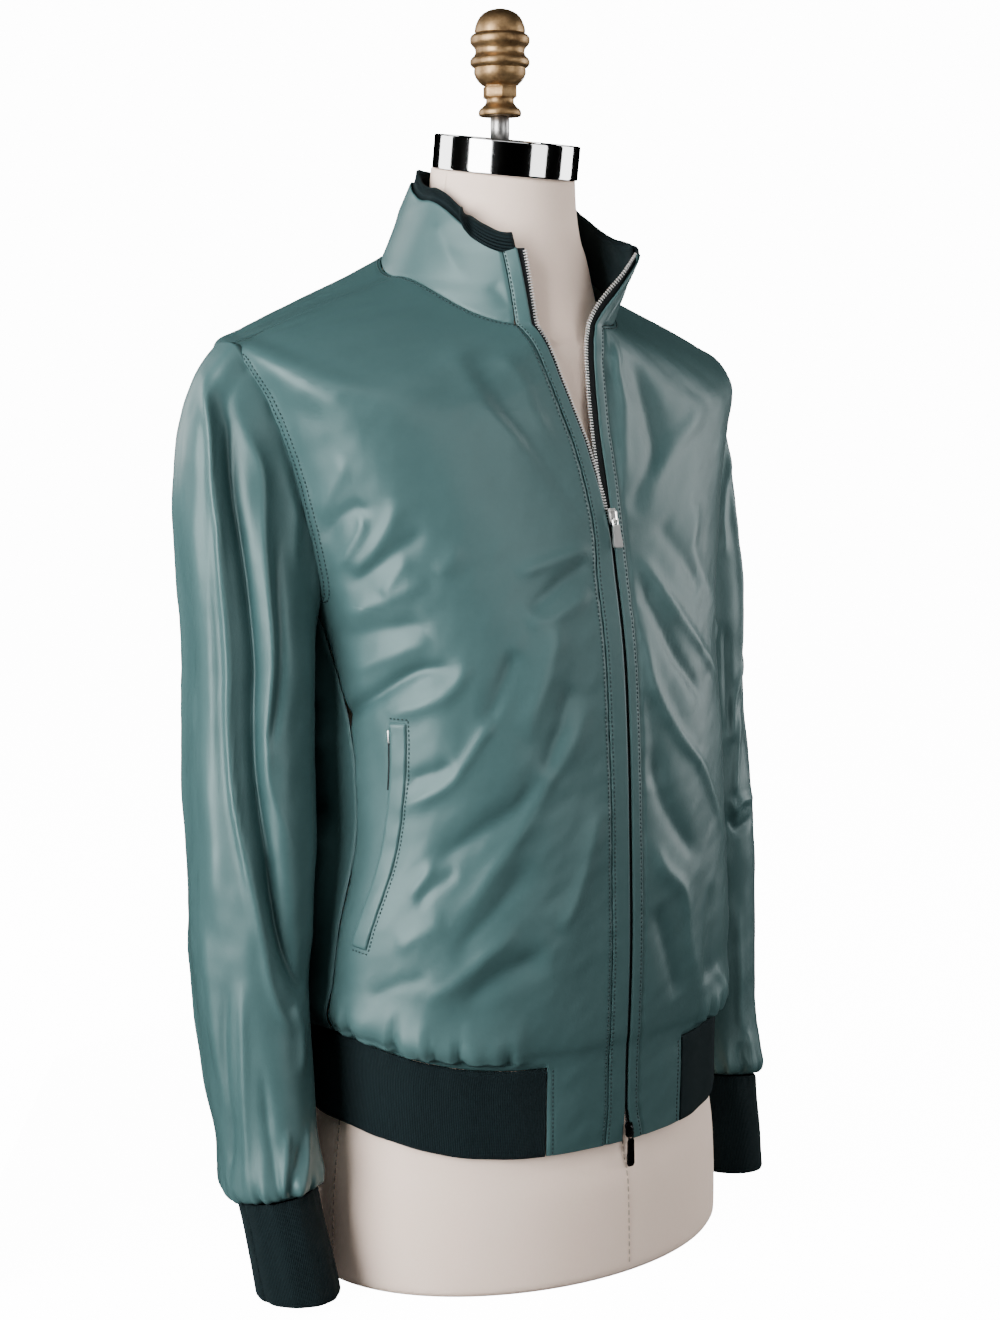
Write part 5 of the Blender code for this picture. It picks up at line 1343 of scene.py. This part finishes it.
def linen_finish(name="linen"):
    """Plain-woven cream cover, a little uneven in its threads."""
    made = Finish(name, Specular_IOR_Level=0.30)
    spot = made.start.node("SeparateXYZ", None, {0: made.metres()}, out=0)
    height = Wire(made.tree, spot.socket.node.outputs[1])
    drift = made.noise(90.0, 2.0) * 3.0
    warp = spot.math("SINE", spot * (2 * math.pi / 0.0011) + drift)
    weft = spot.math("SINE", height * (2 * math.pi / 0.0010) + drift)
    weave = warp * weft
    slub = made.noise(420.0, 4.0, 0.7)
    cloud = made.noise(14.0, 4.0, 0.6)
    tone = (weave * 0.16 + slub * 0.4 + cloud * 0.35 + 0.12).clamped()
    made.set(Base_Color=tone.blend((0.90, 0.675, 0.54), (1.0, 0.83, 0.715)),
             Roughness=(0.84 + slub * 0.1).clamped())
    made.bump((weave, 0.00007), (slub, 0.00012))
    return made.material


def tape_finish():
    """Dark woven zip tape."""
    made = Finish("zip_tape", Specular_IOR_Level=0.3)
    spot = made.start.node("SeparateXYZ", None, {0: made.metres()}, out=0)
    height = Wire(made.tree, spot.socket.node.outputs[1])
    twill = spot.math("SINE", (spot + height) * (2 * math.pi / 0.0009))
    tone = (twill * 0.3 + made.noise(500.0) * 0.6).clamped()
    made.set(Base_Color=tone.blend((0.006, 0.008, 0.009), (0.020, 0.024, 0.026)), Roughness=0.8)
    made.bump((twill, 0.00010))
    return made.material


def thread_finish(name="thread", dark=(0.004, 0.016, 0.017), light=(0.012, 0.036, 0.036)):
    """Sewing thread, a little uneven in tone."""
    made = Finish(name, Specular_IOR_Level=0.35)
    tone = made.noise(900.0).clamped()
    made.set(Base_Color=tone.blend(dark, light), Roughness=(0.5 + tone * 0.2))
    return made.material


def metal_finish(name, dark, light, rough, grain=(40.0, 40.0, 40.0), depth=0.00002, spread=0.15, wear=30.0):
    """A metal whose tone and gloss vary a little, with fine marks drawn out along one axis."""
    made = Finish(name, Metallic=1.0)
    drawn = made.start.node("Mapping", None, {"Vector": made.place(), "Scale": grain})
    marks = made.noise(12.0, 4.0, 0.6, where=drawn)
    cloud = made.noise(wear, 4.0, 0.6)
    tone = (cloud * 0.8 + marks * 0.3 - 0.05).clamped()
    made.set(Base_Color=tone.blend(dark, light),
             Roughness=(rough + marks * spread - 0.5 * spread).clamped(0.03, 1.0))
    made.bump((marks, depth))
    return made.material


def brass_finish():
    """Aged turned brass: brown patina in the grooves, brighter on the beads."""
    made = Finish("aged_brass", Metallic=1.0)
    turned = made.start.node("Mapping", None, {"Vector": made.place(), "Scale": (6.0, 6.0, 900.0)})
    lines = made.noise(1.0, 3.0, 0.6, where=turned)
    cloud = made.noise(60.0, 5.0, 0.65)
    pits = made.noise(420.0, 4.0, 0.7)
    tone = ((cloud - 0.5) * 2.2 + lines * 0.3 + pits * 0.5 + 0.15).clamped()
    made.set(Base_Color=tone.blend((0.11, 0.064, 0.030), (0.42, 0.27, 0.13)),
             Roughness=(0.30 + pits * 0.18 + (1 - tone) * 0.14).clamped())
    made.bump((lines, 0.00005), (pits, 0.00006))
    return made.material


# ---------------------------------------------------------------- studio

LAMPS = (   # name, azimuth, height of its middle, distance, width and height, power
    ("key", -86.0, 1.05, 1.9, (1.20, 1.9), 112.0),
    ("back_strip", -153.0, 1.00, 2.0, (1.10, 1.7), 30.0),
    ("front_strip", 8.0, 0.95, 2.3, (1.10, 1.6), 20.0),
    ("far_strip", 70.0, 0.95, 2.0, (1.10, 1.7), 28.0),
    ("top", -35.0, 2.20, 1.3, (1.5, 1.1), 10.0),
)


def make_studio():
    """Pale floor and backdrop, a black flag, five soft lamps and a dim world."""
    scene = bpy.context.scene
    pale = Finish("pale_floor", Base_Color=(0.84, 0.84, 0.84), Roughness=0.9, Specular_IOR_Level=0.1,
                  Emission_Color=(1.0, 1.0, 1.0), Emission_Strength=GLOW)
    white = Finish("white_backdrop", Base_Color=(0.0, 0.0, 0.0), Specular_IOR_Level=0.0,
                   Emission_Color=(1.0, 1.0, 1.0), Emission_Strength=GLOW)
    floor = stage_plane("studio_floor", [(-6, -6, 0), (6, -6, 0), (6, 6, 0), (-6, 6, 0)], pale)
    floor.location.z = -0.0005
    turn = np.linspace(0, 2 * math.pi, 49)[:-1]
    shape = [[r * math.cos(a), r * math.sin(a), z]
             for r, z in ((5.9, -0.2), (5.9, 5.0), (0.01, 5.2)) for a in turn]
    backdrop = stage_plane("studio_backdrop", shape, white, grid_faces(3, 48, wrap_columns=True).tolist())
    for item in (floor, backdrop):
        item.visible_diffuse = item.visible_glossy = False
        item.visible_shadow = item is floor
    black = Finish("black_flag", Base_Color=(0.0, 0.0, 0.0), Roughness=1.0, Specular_IOR_Level=0.0)
    flag = stage_plane("studio_flag", [(-0.42, 0.13, 0), (-0.06, 0.62, 0), (-0.06, 0.62, 0.60),
                                       (-0.42, 0.13, 0.60)], black)
    flag.visible_camera = False
    world = bpy.data.worlds.new("studio")
    world.use_nodes = True
    world.node_tree.nodes["Background"].inputs[0].default_value = (1.0, 1.0, 1.0, 1.0)
    world.node_tree.nodes["Background"].inputs[1].default_value = 0.11
    scene.world = world
    world.cycles_visibility.glossy = False
    for name, azimuth, height, distance, size, power in LAMPS:
        light = bpy.data.lights.new(name, "AREA")
        light.shape = "RECTANGLE"
        light.size, light.size_y = size
        light.energy = power
        lamp = bpy.data.objects.new(name, light)
        a = math.radians(azimuth)
        place = np.array([math.sin(a) * distance, -math.cos(a) * distance, height])
        aim_object(lamp, place, place - np.array([0.0, 0.0, 0.5 if height > 2.0 else height]))
        scene.collection.objects.link(lamp)


def stage_plane(name, points, finish, faces=((0, 1, 2, 3),)):
    """A surface that belongs to the studio and not to the part."""
    mesh = bpy.data.meshes.new(name)
    mesh.from_pydata([tuple(map(float, p)) for p in points], [], [list(map(int, f)) for f in faces])
    mesh.materials.append(finish.material)
    item = bpy.data.objects.new(name, mesh)
    bpy.context.scene.collection.objects.link(item)
    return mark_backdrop(item) or item


def aim_object(item, place, back):
    """Puts a lamp or camera at a place with its back along a direction, upright."""
    back = back / np.linalg.norm(back)
    right = np.cross([0.0, 0.0, 1.0], back)
    right /= np.linalg.norm(right)
    up = np.cross(back, right)
    matrix = np.eye(4)
    matrix[:3, 0], matrix[:3, 1], matrix[:3, 2], matrix[:3, 3] = right, up, back, place
    item.matrix_world = Matrix(matrix)


def make_camera():
    """The camera at the viewing angle of the photograph."""
    camera = bpy.data.cameras.new("photo_view")
    camera.sensor_fit, camera.sensor_width, camera.lens = "HORIZONTAL", 36.0, 83.99
    item = bpy.data.objects.new("photo_view", camera)
    azimuth, down = math.radians(-39.66), math.radians(7.06)
    back = np.array([math.sin(azimuth) * math.cos(down), -math.cos(azimuth) * math.cos(down), math.sin(down)])
    aim_object(item, np.array([-1.1411, -1.3700, 0.667]), back)
    bpy.context.scene.collection.objects.link(item)
    bpy.context.scene.camera = item


# ---------------------------------------------------------------- making it

leather, knit, linen = leather_finish(), knit_finish(), linen_finish()
tape, thread = tape_finish(), thread_finish()
chrome = metal_finish("polished_chrome", (0.78, 0.78, 0.79), (0.90, 0.90, 0.90), 0.07, spread=0.03,
                      depth=0.000004)
steel = metal_finish("satin_steel", (0.30, 0.30, 0.30), (0.46, 0.45, 0.44), 0.36, grain=(300.0, 10.0, 300.0))
nickel = metal_finish("satin_nickel", (0.66, 0.65, 0.63), (0.80, 0.79, 0.78), 0.30, spread=0.05,
                      depth=0.000004)
bright = metal_finish("zip_teeth", (0.70, 0.69, 0.67), (0.86, 0.85, 0.84), 0.50, spread=0.10)
black_metal = metal_finish("black_metal", (0.010, 0.010, 0.011), (0.035, 0.035, 0.037), 0.28)
brass = brass_finish()

make_camera()
make_studio()
right_lines = make_front("coat_right_front", True, leather)
left_lines = make_front("coat_left_front", False, leather)
back_lines = make_back(leather)
placket_lines = (make_placket("coat_right_placket", True, leather)
                 + make_placket("coat_left_placket", False, leather))
make_collar(leather)
make_collar_rib(knit)
make_hem(knit)
make_sleeve("coat_right_sleeve", True, leather)
make_sleeve("coat_left_sleeve", False, leather)
make_cuff("right_cuff_rib", True, knit)
make_cuff("left_cuff_rib", False, knit)
make_zip("right", True, tape, bright)
make_zip("left", False, tape, bright)
make_form(linen, thread_finish("linen_thread", (0.24, 0.19, 0.15), (0.42, 0.34, 0.27)))
make_cap(chrome, steel)
make_knob(brass, steel)
stitched("front_stitching", right_lines + left_lines, thread)
stitched("back_stitching", back_lines, thread)
stitched("placket_stitching", placket_lines, thread)

for node, finish in (("slider_top", nickel), ("pull_top", nickel), ("slider_bottom", black_metal),
                     ("pull_bottom", black_metal)):
    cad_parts[node].data.materials.clear()
    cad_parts[node].data.materials.append(finish)
